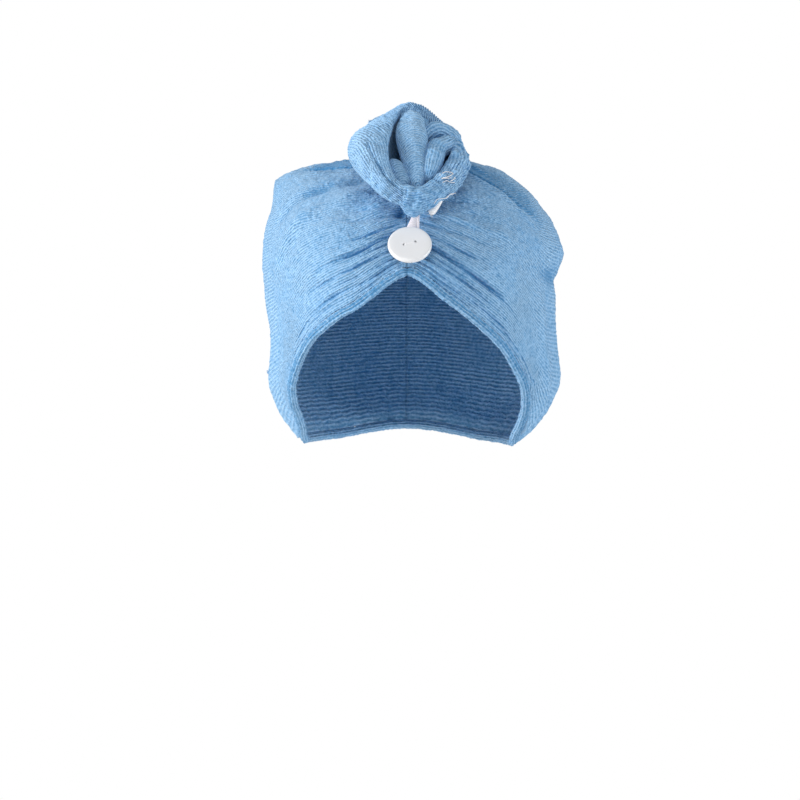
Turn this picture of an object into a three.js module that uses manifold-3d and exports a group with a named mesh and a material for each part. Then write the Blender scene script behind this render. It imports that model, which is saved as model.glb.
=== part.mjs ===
// A hair turban towel in its worn form: a towelling hood of two panels, sewn together over the
// middle of the head, whose tail comes forward over the crown, opens into a rolled knot above the
// forehead, and hooks on a round button with an elastic loop.
// Millimetres. -Y is the front, +X is on the right as seen from the front, +Z is up.
// The origin is the point inside the crown that bears on the top of the head.

import * as THREE from "three";
import Module from "manifold-3d";
import { mergeVertices } from "three/addons/utils/BufferGeometryUtils.js";

// Driving sizes
const hoodWidth = 178;
const hoodDepth = 214;
const hoodHeight = 176;
const hoodWall = 3.2;
const hemHeight = 5;
const hemThickness = 4.6;
const tailWidth = 74;
const tailRise = 71;
const tailReach = 88;
const tailFoot = 41;
const tailStand = 14;
const buttonDiameter = 25;
const buttonThickness = 3.2;
const buttonRim = 0.8;
const buttonHole = 2;
const buttonHoleSpacing = 6.7;
const buttonTilt = 36;
const buttonTurn = 18;
const buttonAcross = 1.3;
const threadDiameter = 1.1;
const threadShank = 1.8;
const loopCord = 2.4;
const loopSpread = 7.5;
const loopShowing = 12;
const loopSewnIn = 5;
const loopLean = 3;
const tagLength = 11;
const tagDiameter = 3;
const pieceGap = 0.3;

// How fine the faceted solids are
const columnsPerSide = 25;
const gatherRows = 18;
const crownRows = 9;
const gatherShare = 0.38;
const knotSteps = 30;
const foldSides = 9;

// Hood sections. drop: share of the height below the crown. left, right: shares of half the
// width. front, back: shares of half the depth.
const sections = [
  { drop: 0, left: 0, right: 0, front: 0, back: 0 },
  { drop: 0.026, left: 0.53, right: 0.44, front: 0.3, back: 0.42 },
  { drop: 0.06, left: 0.775, right: 0.625, front: 0.44, back: 0.6 },
  { drop: 0.1, left: 0.905, right: 0.735, front: 0.57, back: 0.73 },
  { drop: 0.18, left: 0.917, right: 0.89, front: 0.735, back: 0.87 },
  { drop: 0.33, left: 0.964, right: 1.024, front: 0.915, back: 0.985 },
  { drop: 0.455, left: 0.957, right: 0.985, front: 0.965, back: 1.01 },
  { drop: 0.62, left: 0.937, right: 0.998, front: 0.93, back: 0.985 },
  { drop: 0.78, left: 0.937, right: 1.025, front: 0.8, back: 0.91 },
  { drop: 0.855, left: 0.89, right: 0.984, front: 0.7, back: 0.85 },
  { drop: 0.92, left: 0.8, right: 0.89, front: 0.6, back: 0.79 },
  { drop: 1, left: 0.69, right: 0.7, front: 0.5, back: 0.71 },
];

// The face opening's edge. angle: degrees round from the front. left, right: drops.
const opening = [
  { angle: 0, left: 0.443, right: 0.443 },
  { angle: 6, left: 0.466, right: 0.47 },
  { angle: 12, left: 0.503, right: 0.512 },
  { angle: 20, left: 0.548, right: 0.563 },
  { angle: 28, left: 0.581, right: 0.617 },
  { angle: 35, left: 0.616, right: 0.671 },
  { angle: 41, left: 0.651, right: 0.742 },
  { angle: 46, left: 0.697, right: 0.808 },
  { angle: 50, left: 0.745, right: 0.87 },
  { angle: 55, left: 0.822, right: 0.923 },
  { angle: 60, left: 0.899, right: 0.956 },
  { angle: 68, left: 0.953, right: 0.981 },
  { angle: 90, left: 0.99, right: 0.999 },
  { angle: 135, left: 0.98, right: 0.985 },
  { angle: 180, left: 0.945, right: 0.945 },
];

// Gathers run round the hood from the button seam. side: -1 left, 1 right. rise: share of the way
// from the edge to the crown, where the gather starts and where it ends. from, to: degrees.
// width: shares of the hem height. height: shares of the wall, negative for a groove.
const gathers = [
  { side: -1, rise: 0.067, riseEnd: 0.072, from: 0, to: 52, width: 0.34, height: -0.4 },
  { side: -1, rise: 0.124, riseEnd: 0.146, from: 2, to: 46, width: 0.36, height: -0.5 },
  { side: -1, rise: 0.186, riseEnd: 0.195, from: 2, to: 40, width: 0.4, height: -0.7 },
  { side: -1, rise: 0.23, riseEnd: 0.262, from: 2, to: 34, width: 0.34, height: -0.45 },
  { side: -1, rise: 0.343, riseEnd: 0.28, from: 8, to: 52, width: 1.5, height: 0.35 },
  { side: -1, rise: 0.455, riseEnd: 0.33, from: 12, to: 76, width: 2, height: 0.75 },
  { side: -1, rise: 0.56, riseEnd: 0.47, from: 16, to: 72, width: 1.9, height: -0.6 },
  { side: -1, rise: 0.7, riseEnd: 0.8, from: 28, to: 66, width: 0.8, height: -0.55 },
  { side: 1, rise: 0.055, riseEnd: 0.06, from: 0, to: 54, width: 0.34, height: -0.4 },
  { side: 1, rise: 0.103, riseEnd: 0.09, from: 2, to: 38, width: 0.34, height: -0.45 },
  { side: 1, rise: 0.152, riseEnd: 0.122, from: 2, to: 46, width: 0.5, height: -0.8 },
  { side: 1, rise: 0.2, riseEnd: 0.2, from: 2, to: 40, width: 0.34, height: -0.45 },
  { side: 1, rise: 0.25, riseEnd: 0.27, from: 3, to: 42, width: 0.36, height: -0.35 },
  { side: 1, rise: 0.31, riseEnd: 0.35, from: 5, to: 48, width: 1, height: 0.35 },
  { side: 1, rise: 0.42, riseEnd: 0.4, from: 52, to: 122, width: 1.6, height: 0.5 },
  { side: 1, rise: 0.34, riseEnd: 0.33, from: 56, to: 116, width: 1.2, height: -0.55 },
  { side: 1, rise: 0.7, riseEnd: 0.555, from: 26, to: 70, width: 1.3, height: -0.7 },
  { side: 1, rise: 0.79, riseEnd: 0.65, from: 30, to: 80, width: 1.5, height: 0.5 },
];

// Pleats run up the hood. angle: degrees round, at the lower and the upper end. from, to: rises.
// width: degrees. height: shares of the wall, negative for a groove.
const pleats = [
  { side: 1, angle: 63, angleEnd: 58, from: 0, to: 0.36, width: 5, height: 0.75 },
  { side: 1, angle: 74, angleEnd: 70, from: 0, to: 0.34, width: 6, height: -0.9 },
  { side: 1, angle: 76, angleEnd: 84, from: 0.28, to: 0.6, width: 8, height: 0.5 },
  { side: -1, angle: 70, angleEnd: 66, from: 0, to: 0.4, width: 7, height: -0.5 },
  { side: -1, angle: 96, angleEnd: 88, from: 0.05, to: 0.6, width: 10, height: 0.5 },
  { side: -1, angle: 128, angleEnd: 118, from: 0.1, to: 0.75, width: 9, height: -0.7 },
  { side: 1, angle: 122, angleEnd: 112, from: 0.1, to: 0.7, width: 9, height: -0.7 },
  { side: 1, angle: 152, angleEnd: 140, from: 0.25, to: 0.8, width: 8, height: -0.6 },
  { side: -1, angle: 158, angleEnd: 146, from: 0.3, to: 0.85, width: 7, height: -0.6 },
];
const napeRipples = 44;
const napeRippleHeight = 0.3;
const rootRipples = 13;
const rootRippleHeight = 0.45;

// The rolled rim of the knot, round its mouth from the bottom, clockwise from the front. The lip
// is the roll's inner edge and the brow its outer edge. across: share of the tail's width. rise:
// share of its rise above its foot. reach: share of its reach forward. bulge: how far the roll
// swells, as a share of the distance from lip to brow.
const lips = [
  { across: 0.04, rise: 0.245, reach: 0.92 },
  { across: -0.06, rise: 0.275, reach: 0.91 },
  { across: -0.125, rise: 0.385, reach: 0.865 },
  { across: -0.15, rise: 0.515, reach: 0.79 },
  { across: -0.14, rise: 0.645, reach: 0.69 },
  { across: -0.1, rise: 0.79, reach: 0.53 },
  { across: -0.04, rise: 0.9, reach: 0.38 },
  { across: 0.04, rise: 0.9, reach: 0.35 },
  { across: 0.16, rise: 0.82, reach: 0.36 },
  { across: 0.27, rise: 0.73, reach: 0.4 },
  { across: 0.35, rise: 0.62, reach: 0.5 },
  { across: 0.325, rise: 0.5, reach: 0.64 },
  { across: 0.23, rise: 0.35, reach: 0.8 },
  { across: 0.14, rise: 0.26, reach: 0.9 },
];
const brows = [
  { across: 0.01, rise: 0.03, reach: 0.925, bulge: 0.36 },
  { across: -0.2, rise: 0.14, reach: 0.91, bulge: 0.34 },
  { across: -0.335, rise: 0.27, reach: 0.845, bulge: 0.32 },
  { across: -0.465, rise: 0.42, reach: 0.735, bulge: 0.28 },
  { across: -0.47, rise: 0.58, reach: 0.62, bulge: 0.22 },
  { across: -0.38, rise: 0.7, reach: 0.49, bulge: 0.2 },
  { across: -0.19, rise: 0.85, reach: 0.36, bulge: 0.26 },
  { across: 0, rise: 0.965, reach: 0.25, bulge: 0.34 },
  { across: 0.175, rise: 0.875, reach: 0.24, bulge: 0.34 },
  { across: 0.31, rise: 0.755, reach: 0.29, bulge: 0.34 },
  { across: 0.425, rise: 0.62, reach: 0.41, bulge: 0.36 },
  { across: 0.485, rise: 0.42, reach: 0.58, bulge: 0.36 },
  { across: 0.39, rise: 0.22, reach: 0.76, bulge: 0.36 },
  { across: 0.2, rise: 0.08, reach: 0.88, bulge: 0.38 },
];
const lipDepth = 0.5;
const browDepth = 0.62;

// Folds inside the mouth, each along its ridge. thick: radius as a share of the tail's width.
const innerFolds = {
  tongue: [
    { across: 0.02, rise: 0.85, reach: 0.4, thick: 0.05 },
    { across: 0.03, rise: 0.75, reach: 0.5, thick: 0.105 },
    { across: 0.04, rise: 0.58, reach: 0.61, thick: 0.125 },
    { across: 0.05, rise: 0.4, reach: 0.72, thick: 0.1 },
    { across: 0.07, rise: 0.2, reach: 0.84, thick: 0.08 },
  ],
  upperTuck: [
    { across: 0.09, rise: 0.65, reach: 0.46, thick: 0.07 },
    { across: 0.23, rise: 0.68, reach: 0.44, thick: 0.075 },
    { across: 0.37, rise: 0.6, reach: 0.44, thick: 0.07 },
  ],
  lowerTuck: [
    { across: 0.37, rise: 0.55, reach: 0.46, thick: 0.08 },
    { across: 0.25, rise: 0.47, reach: 0.56, thick: 0.085 },
    { across: 0.18, rise: 0.33, reach: 0.7, thick: 0.08 },
    { across: 0.12, rise: 0.2, reach: 0.82, thick: 0.07 },
  ],
  floorTuck: [
    { across: -0.15, rise: 0.36, reach: 0.72, thick: 0.07 },
    { across: -0.06, rise: 0.24, reach: 0.82, thick: 0.08 },
  ],
};

// The twisted tail over the crown, from behind the knot to its root at the back. back: share of
// half the hood's depth behind the origin. sink: how far its middle lies below the origin, as a
// share of the hood's height. wide: half width, a share of the tail's width. tall: half
// height, a share of the tail's rise. turn: degrees that the twist has turned.
const twist = [
  { back: -0.5, sink: -0.04, wide: 0.42, tall: 0.3, turn: -20 },
  { back: -0.3, sink: -0.045, wide: 0.44, tall: 0.28, turn: 15 },
  { back: -0.06, sink: -0.045, wide: 0.38, tall: 0.22, turn: 65 },
  { back: 0.2, sink: -0.035, wide: 0.33, tall: 0.19, turn: 120 },
  { back: 0.45, sink: 0.005, wide: 0.31, tall: 0.17, turn: 170 },
  { back: 0.66, sink: 0.09, wide: 0.33, tall: 0.15, turn: 210 },
  { back: 0.77, sink: 0.22, wide: 0.36, tall: 0.12, turn: 240 },
  { back: 0.72, sink: 0.36, wide: 0.34, tall: 0.08, turn: 255 },
];
const twistLobes = 3;
const twistDepth = 0.15;

const cloth = new THREE.MeshStandardMaterial({ color: 0x86b8e2, roughness: 0.95, metalness: 0 });
const hemCloth = new THREE.MeshStandardMaterial({ color: 0x74a9d8, roughness: 0.95, metalness: 0 });
const buttonPlastic = new THREE.MeshStandardMaterial({ color: 0xf0f2f4, roughness: 0.35, metalness: 0 });
const elastic = new THREE.MeshStandardMaterial({ color: 0xe6e2ec, roughness: 0.8, metalness: 0 });

const wasm = await Module();
wasm.setup();

// The value of a table's column at x, on a smooth curve that never overshoots its rows.
function along(rows, key, column, x) {
  const last = rows.length - 1;
  let i = 0;
  while (i < last - 1 && x > rows[i + 1][key]) i += 1;
  const slope = (k) => {
    if (k < 0 || k >= last) return 0;
    return (rows[k + 1][column] - rows[k][column]) / (rows[k + 1][key] - rows[k][key]);
  };
  const tangent = (k) => {
    if (k === 0) return slope(0);
    if (k === last) return slope(last - 1);
    const before = slope(k - 1);
    const after = slope(k);
    return before * after <= 0 ? 0 : (2 * before * after) / (before + after);
  };
  const step = rows[i + 1][key] - rows[i][key];
  const s = THREE.MathUtils.clamp((x - rows[i][key]) / step, 0, 1);
  const s2 = s * s;
  const s3 = s2 * s;
  return (
    (2 * s3 - 3 * s2 + 1) * rows[i][column] +
    (s3 - 2 * s2 + s) * step * tangent(i) +
    (3 * s2 - 2 * s3) * rows[i + 1][column] +
    (s3 - s2) * step * tangent(i + 1)
  );
}

const bell = (distance, width) => Math.exp(-((distance / width) ** 2));
const fade = (x, from, to) => THREE.MathUtils.smoothstep(x, from, to);

// Sections are looked up by the root of the drop, which keeps the crown round.
const rootSections = sections.map((row) => ({ ...row, root: Math.sqrt(row.drop) }));

// The opening's table is mirrored past its ends, which keeps its peak and its nape round.
const wholeOpening = [
  { ...opening[1], angle: -opening[1].angle },
  ...opening,
  { ...opening.at(-2), angle: 360 - opening.at(-2).angle },
];

// A point of the hood's plain form. angle: radians round from the front, negative to the left.
const cornerFullness = 0.03;
function hoodForm(angle, root) {
  const across = Math.sin(angle);
  const forward = Math.cos(angle);
  const full = 1 + cornerFullness * Math.sin(2 * angle) ** 2;
  const halfWidth = (hoodWidth / 2) * along(rootSections, "root", across < 0 ? "left" : "right", root);
  const halfDepth = (hoodDepth / 2) * along(rootSections, "root", forward > 0 ? "front" : "back", root);
  return new THREE.Vector3(
    full * halfWidth * across,
    -full * halfDepth * forward,
    hoodWall - hoodHeight * root * root,
  );
}

function hoodNormal(angle, root) {
  const step = 1e-3;
  if (root < step) return new THREE.Vector3(0, 0, 1);
  const round = hoodForm(angle + step, root).sub(hoodForm(angle - step, root));
  const down = hoodForm(angle, Math.min(root + step, 1)).sub(hoodForm(angle, root - step));
  return down.cross(round).normalize();
}

function edgeRoot(angle) {
  const degrees = Math.abs(THREE.MathUtils.radToDeg(angle));
  return Math.sqrt(along(wholeOpening, "angle", angle < 0 ? "left" : "right", degrees));
}

// How far folds lift the cloth from the plain form, in mm.
function foldLift(angle, root) {
  const degrees = Math.abs(THREE.MathUtils.radToDeg(angle));
  const side = Math.sign(angle);
  const edge = edgeRoot(angle);
  const rise = 1 - root / edge;
  const riseLength = edge * hoodHeight * 1.8;
  let lift = 0;
  for (const g of gathers) {
    if (g.side !== side && degrees > 0) continue;
    const share = THREE.MathUtils.clamp((degrees - g.from) / (g.to - g.from), 0, 1);
    const off = (rise - THREE.MathUtils.lerp(g.rise, g.riseEnd, share)) * riseLength;
    const ends = fade(degrees, g.from - 2, g.from + 5) * (1 - fade(degrees, g.to - 18, g.to));
    lift += g.height * hoodWall * ends * bell(off, g.width * hemHeight);
  }
  for (const p of pleats) {
    if (p.side !== side) continue;
    const share = THREE.MathUtils.clamp((rise - p.from) / (p.to - p.from), 0, 1);
    const off = degrees - THREE.MathUtils.lerp(p.angle, p.angleEnd, share);
    const ends = fade(rise, p.from - 0.12, p.from + 0.04) * (1 - fade(rise, p.to - 0.14, p.to));
    lift += p.height * hoodWall * ends * bell(off, p.width);
  }
  const nape = fade(degrees, 100, 125) * (1 - fade(rise, 0.02, 0.2));
  lift += napeRippleHeight * hoodWall * nape * Math.cos(napeRipples * angle);
  const root0 = fade(degrees, 95, 135) * fade(root, 0.08, 0.2) * (1 - fade(root, 0.3, 0.55));
  lift += rootRippleHeight * hoodWall * root0 * Math.cos(rootRipples * angle);
  return lift;
}

// A point of the hood's cloth, a given depth under its outer face.
const innerFollows = 0.55;
function clothPoint(angle, root, depth = 0) {
  const follows = depth >= hoodWall ? innerFollows : 1;
  const lift = foldLift(angle, root) * follows - depth;
  return hoodForm(angle, root).addScaledVector(hoodNormal(angle, root), lift);
}

// The opening's edge as columns of equal spacing, each with its angle and root, and the place
// where the cloth starts above the hem, found square to the edge.
function edgeColumns(perSide) {
  const fine = 2000;
  const points = [];
  for (let i = 0; i <= fine; i += 1) {
    const angle = -Math.PI + (2 * Math.PI * i) / fine;
    points.push({ angle, place: hoodForm(angle, edgeRoot(angle)) });
  }
  const lengths = [0];
  for (let i = 1; i <= fine; i += 1)
    lengths.push(lengths[i - 1] + points[i].place.distanceTo(points[i - 1].place));
  const middle = fine / 2;
  const columns = [];
  const total = 2 * perSide;
  for (let k = 0; k < total; k += 1) {
    const half = k < perSide ? [0, middle] : [middle, fine];
    const share = (k % perSide) / perSide;
    const goal = lengths[half[0]] + share * (lengths[half[1]] - lengths[half[0]]);
    let i = half[0];
    while (lengths[i + 1] < goal) i += 1;
    const s = (goal - lengths[i]) / (lengths[i + 1] - lengths[i]);
    columns.push(THREE.MathUtils.lerp(points[i].angle, points[i + 1].angle, s));
  }
  return columns;
}

// Steps square to the edge, along the cloth, by a distance in mm.
function inwardOf(angle, distance) {
  const step = 2e-3;
  const root = edgeRoot(angle);
  const here = hoodForm(angle, root);
  const tangent = hoodForm(angle + step, edgeRoot(angle + step)).sub(
    hoodForm(angle - step, edgeRoot(angle - step)),
  );
  const normal = hoodNormal(angle, root);
  const inward = normal.clone().cross(tangent).normalize();
  if (inward.z < 0 && Math.abs(inward.z) > 0.5) inward.negate();
  const goal = here.clone().addScaledVector(inward, distance);
  let a = angle;
  let r = root;
  for (let n = 0; n < 12; n += 1) {
    const p = hoodForm(a, r);
    const da = hoodForm(a + step, r).sub(p).divideScalar(step);
    const dr = p.clone().sub(hoodForm(a, r - step)).divideScalar(step);
    const miss = goal.clone().sub(p);
    const aa = da.dot(da);
    const ab = da.dot(dr);
    const bb = dr.dot(dr);
    const det = aa * bb - ab * ab;
    a += (bb * miss.dot(da) - ab * miss.dot(dr)) / det;
    r += (aa * miss.dot(dr) - ab * miss.dot(da)) / det;
  }
  return { angle: a, root: Math.min(r, 1), here, inward, normal };
}

const middleOf = (points) =>
  points.reduce((sum, p) => sum.add(p), new THREE.Vector3()).divideScalar(points.length);

// A closed body from rings of points, each ring joined to the next. wrap joins the last ring to
// the first; otherwise each end closes on its middle.
function skin(rings, wrap) {
  const across = rings[0].length;
  const vertices = rings.flat().flatMap((p) => [p.x, p.y, p.z]);
  const triangles = [];
  const count = wrap ? rings.length : rings.length - 1;
  for (let i = 0; i < count; i += 1) {
    const next = (i + 1) % rings.length;
    for (let j = 0; j < across; j += 1) {
      const k = (j + 1) % across;
      const a = i * across + j;
      const b = i * across + k;
      const c = next * across + k;
      const d = next * across + j;
      triangles.push(a, b, c, a, c, d);
    }
  }
  if (!wrap) {
    for (const [ring, flip] of [[0, false], [rings.length - 1, true]]) {
      const middle = middleOf(rings[ring]);
      const tip = vertices.length / 3;
      vertices.push(middle.x, middle.y, middle.z);
      for (let j = 0; j < across; j += 1) {
        const a = ring * across + j;
        const b = ring * across + ((j + 1) % across);
        if (flip) triangles.push(a, b, tip);
        else triangles.push(b, a, tip);
      }
    }
  }
  return bodyOf(vertices, triangles);
}

// A manifold solid from vertices and triangles, turned right side out.
function bodyOf(vertices, triangles) {
  const vertProperties = new Float32Array(vertices);
  const make = (tris) =>
    new wasm.Manifold(new wasm.Mesh({ numProp: 3, vertProperties, triVerts: new Uint32Array(tris) }));
  const made = make(triangles);
  if (made.volume() > 0) return made;
  const turned = [];
  for (let i = 0; i < triangles.length; i += 3) turned.push(triangles[i], triangles[i + 2], triangles[i + 1]);
  return make(turned);
}

function geometryOf(solid) {
  const mesh = solid.getMesh();
  const positions = new Float32Array(mesh.numVert * 3);
  for (let i = 0; i < mesh.numVert; i += 1)
    positions.set(mesh.vertProperties.subarray(i * mesh.numProp, i * mesh.numProp + 3), i * 3);
  const geometry = new THREE.BufferGeometry();
  geometry.setAttribute("position", new THREE.BufferAttribute(positions, 3));
  geometry.setIndex(new THREE.BufferAttribute(mesh.triVerts, 1));
  geometry.computeVertexNormals();
  return geometry;
}

function solidOf(geometry) {
  const bare = geometry.clone();
  bare.deleteAttribute("normal");
  bare.deleteAttribute("uv");
  const merged = mergeVertices(bare, 1e-4);
  return bodyOf([...merged.attributes.position.array], [...merged.index.array]);
}

function named(name, solid, material) {
  const mesh = new THREE.Mesh(geometryOf(solid), material);
  mesh.name = name;
  return mesh;
}

// The hood's shell, from just above the hem to the crown.
const columns = edgeColumns(columnsPerSide);
const rises = [];
for (let i = 0; i < gatherRows; i += 1) rises.push((gatherShare * i) / gatherRows);
for (let i = 0; i < crownRows; i += 1) rises.push(gatherShare + ((1 - gatherShare) * i) / crownRows);
const starts = columns.map((angle) => inwardOf(angle, hemHeight + pieceGap));

// The rows of the hood's face at a depth under its outer face.
function clothFace(depth) {
  return rises.map((rise) => starts.map((s) => clothPoint(s.angle, s.root * (1 - rise), depth)));
}

function hoodShell() {
  const outer = clothFace(0);
  const inner = clothFace(hoodWall);
  const across = columns.length;
  const rows = outer.length;
  const vertices = [...outer.flat(), ...inner.flat()].flatMap((p) => [p.x, p.y, p.z]);
  const outerTip = vertices.length / 3;
  const innerTip = outerTip + 1;
  vertices.push(0, 0, hoodWall, 0, 0, 0);
  const triangles = [];
  const at = (layer, row, column) => layer * rows * across + row * across + (column % across);
  const quad = (a, b, c, d) => triangles.push(a, b, c, a, c, d);
  for (let j = 0; j < across; j += 1) {
    for (let i = 0; i < rows - 1; i += 1) {
      quad(at(0, i, j), at(0, i, j + 1), at(0, i + 1, j + 1), at(0, i + 1, j));
      quad(at(1, i, j + 1), at(1, i, j), at(1, i + 1, j), at(1, i + 1, j + 1));
    }
    quad(at(0, 0, j + 1), at(0, 0, j), at(1, 0, j), at(1, 0, j + 1));
    triangles.push(at(0, rows - 1, j), at(0, rows - 1, j + 1), outerTip);
    triangles.push(at(1, rows - 1, j + 1), at(1, rows - 1, j), innerTip);
  }
  return bodyOf(vertices, triangles);
}

// One panel of the hood, cut at the seam over the middle. side: -1 left, 1 right.
function hoodPanel(side) {
  return hoodShell().trimByPlane([side, 0, 0], pieceGap / 2);
}

// The hood's outer form grown by a gap and filled, which trims what lies on the hood.
function hoodMould(gap) {
  const rings = clothFace(-gap);
  const across = columns.length;
  const vertices = rings.flat().flatMap((p) => [p.x, p.y, p.z]);
  const triangles = [];
  for (let i = 0; i < rings.length - 1; i += 1) {
    for (let j = 0; j < across; j += 1) {
      const k = (j + 1) % across;
      const a = i * across + j;
      const b = i * across + k;
      triangles.push(a, b, b + across, a, b + across, a + across);
    }
  }
  const tip = vertices.length / 3;
  vertices.push(0, 0, hoodWall + gap, 0, 0, -0.5 * hoodHeight);
  const top = (rings.length - 1) * across;
  for (let j = 0; j < across; j += 1) {
    const k = (j + 1) % across;
    triangles.push(top + j, top + k, tip, k, j, tip + 1);
  }
  return bodyOf(vertices, triangles);
}

// The rolled hem, a soft rectangle carried round the opening.
const hemSides = 8;
function hemRoll() {
  const rings = columns.map((angle) => {
    const { here, inward, normal } = inwardOf(angle, hemHeight / 2);
    const middle = here.clone().addScaledVector(inward, hemHeight / 2).addScaledVector(normal, -hoodWall / 2);
    const ring = [];
    for (let k = 0; k < hemSides; k += 1) {
      const turn = (2 * Math.PI * (k + 0.5)) / hemSides;
      const c = Math.cos(turn);
      const s = Math.sin(turn);
      const soft = 1 / Math.max(Math.abs(c), Math.abs(s)) ** 0.5;
      ring.push(
        middle
          .clone()
          .addScaledVector(inward, (c * soft * hemHeight) / 2)
          .addScaledVector(normal, (s * soft * hemThickness) / 2),
      );
    }
    return ring;
  });
  return skin(rings, true);
}

// The knot's foot stands off the hood's front seam, and the knot's places follow it.
const dropOf = (below) => Math.sqrt((below + hoodWall) / hoodHeight);
const footSeat = clothPoint(0, dropOf(tailFoot));
const footReach = brows[0].reach;
const tailPlace = ({ across, rise, reach }) =>
  new THREE.Vector3(
    across * tailWidth,
    footSeat.y - tailStand + (footReach - reach) * tailReach,
    rise * tailRise - tailFoot,
  );

const ringCurve = (points) => new THREE.CatmullRomCurve3(points, true, "centripetal");

// The rim of the knot: a wall that rises to its lip, rolls over and comes down on the hood.
const headCentre = new THREE.Vector3(0, -0.1 * hoodDepth, -0.32 * hoodHeight);
function knotRim() {
  const lipCurve = ringCurve(lips.map(tailPlace));
  const browCurve = ringCurve(brows.map(tailPlace));
  const swelling = [...brows, brows[0]].map((row, i) => ({ station: i / brows.length, bulge: row.bulge }));
  const mouth = middleOf(lips.map(tailPlace));
  const rings = [];
  for (let i = 0; i < knotSteps; i += 1) {
    const lip = lipCurve.getPoint(i / knotSteps);
    const brow = browCurve.getPoint(i / knotSteps);
    const bulge = along(swelling, "station", "bulge", i / knotSteps) * lip.distanceTo(brow);
    const outwards = brow.clone().sub(mouth).normalize();
    const away = lip.clone().add(brow).multiplyScalar(0.5).sub(headCentre).normalize();
    const swell = away.clone().addScaledVector(outwards, 0.35).normalize();
    const inside = lip.clone().lerp(headCentre, lipDepth).lerp(mouth, 0.1);
    const under = brow.clone().lerp(headCentre, browDepth);
    const throat = lip.clone().lerp(inside, 0.22).lerp(brow, 0.06);
    const shoulder = lip.clone().lerp(brow, 0.22).addScaledVector(swell, 0.75 * bulge);
    const crest = lip.clone().lerp(brow, 0.55).addScaledVector(swell, bulge);
    const flank = lip.clone().lerp(brow, 0.86).addScaledVector(swell, 0.55 * bulge);
    const tuck = brow.clone().lerp(under, 0.2).lerp(mouth, 0.05);
    rings.push([inside, throat, lip, shoulder, crest, flank, brow, tuck, under]);
  }
  return skin(rings, true);
}

// A fold along its ridge, round in section.
function softFold(rows) {
  const curve = new THREE.CatmullRomCurve3(rows.map(tailPlace), false, "centripetal");
  const steps = 4 * (rows.length - 1);
  const frames = curve.computeFrenetFrames(steps, false);
  const rings = [];
  for (let i = 0; i <= steps; i += 1) {
    const share = (i / steps) * (rows.length - 1);
    const row = Math.min(Math.floor(share), rows.length - 2);
    const thick = THREE.MathUtils.lerp(rows[row].thick, rows[row + 1].thick, share - row) * tailWidth;
    const middle = curve.getPoint(i / steps);
    rings.push(roundSection(foldSides, (c, s) =>
      middle
        .clone()
        .addScaledVector(frames.normals[i], thick * c)
        .addScaledVector(frames.binormals[i], thick * s),
    ));
  }
  return skin(rings, false);
}

function roundSection(sides, place) {
  return Array.from({ length: sides }, (_, k) => {
    const turn = (2 * Math.PI * k) / sides;
    return place(Math.cos(turn), Math.sin(turn), turn);
  });
}

// The twisted stretch over the crown, lobed in section and turning as it goes back.
const twistSteps = 22;
const twistSides = 18;
function twistedRoll() {
  const middles = twist.map(
    (row) => new THREE.Vector3(0, (row.back * hoodDepth) / 2, -row.sink * hoodHeight),
  );
  const curve = new THREE.CatmullRomCurve3(middles, false, "centripetal");
  const rows = twist.map((row, i) => ({ ...row, station: i }));
  const rings = [];
  for (let i = 0; i <= twistSteps; i += 1) {
    const station = (i / twistSteps) * (rows.length - 1);
    const middle = curve.getPoint(i / twistSteps);
    const heading = curve.getTangent(i / twistSteps);
    const side = new THREE.Vector3(1, 0, 0);
    const up = side.clone().cross(heading).normalize();
    const wide = along(rows, "station", "wide", station) * tailWidth;
    const tall = along(rows, "station", "tall", station) * tailRise;
    const turned = THREE.MathUtils.degToRad(along(rows, "station", "turn", station));
    rings.push(roundSection(twistSides, (c, s, turn) => {
      const lobe = 1 - twistDepth * (0.5 - 0.5 * Math.cos(twistLobes * (turn - turned)));
      return middle.clone().addScaledVector(side, wide * lobe * c).addScaledVector(up, tall * lobe * s);
    }));
  }
  return skin(rings, false);
}

// A cord of round section along a smooth curve. grow: a gap all round it, and past its ends.
const cordSides = 8;
const cordStep = 1.9;
function cordSolid(points, diameter, grow = 0) {
  const ends = points.map((p) => p.clone());
  const push = (end, next) => end.addScaledVector(end.clone().sub(next).normalize(), grow);
  push(ends[0], ends[1]);
  push(ends.at(-1), ends.at(-2));
  const curve = new THREE.CatmullRomCurve3(ends, false, "centripetal");
  const section = new THREE.Shape();
  section.absarc(0, 0, diameter / 2 + grow, 0, 2 * Math.PI, false);
  const tube = new THREE.ExtrudeGeometry(section, {
    steps: Math.max(4, Math.round(curve.getLength() / cordStep)),
    curveSegments: cordSides / 2,
    extrudePath: curve,
    bevelEnabled: false,
  });
  return solidOf(tube);
}

// The button hangs from the knot's foot by the loop that shows, over the front seam.
const tilt = THREE.MathUtils.degToRad(buttonTilt);
const buttonAxis = new THREE.Vector3(0, -Math.cos(tilt), Math.sin(tilt));
const buttonUp = new THREE.Vector3(0, Math.sin(tilt), Math.cos(tilt));
const footTip = tailPlace(brows[0]);
const buttonMiddle = -footTip.z + loopShowing + (buttonDiameter / 2) * Math.cos(tilt);
const buttonSeat = clothPoint(0, dropOf(buttonMiddle)).setX(buttonAcross);
const loopBehind = threadDiameter + 2 * pieceGap + loopCord / 2;
const buttonBack = loopBehind + loopCord / 2 + 2 * pieceGap;
const buttonFrame = new THREE.Matrix4()
  .makeBasis(new THREE.Vector3(1, 0, 0), buttonUp, buttonAxis)
  .setPosition(buttonSeat.clone().addScaledVector(buttonAxis, buttonBack));

function holePlaces() {
  const turn = THREE.MathUtils.degToRad(buttonTurn);
  const half = buttonHoleSpacing / 2;
  return [-half, half].map((x) => new THREE.Vector2(x * Math.cos(turn), x * Math.sin(turn)));
}

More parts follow.
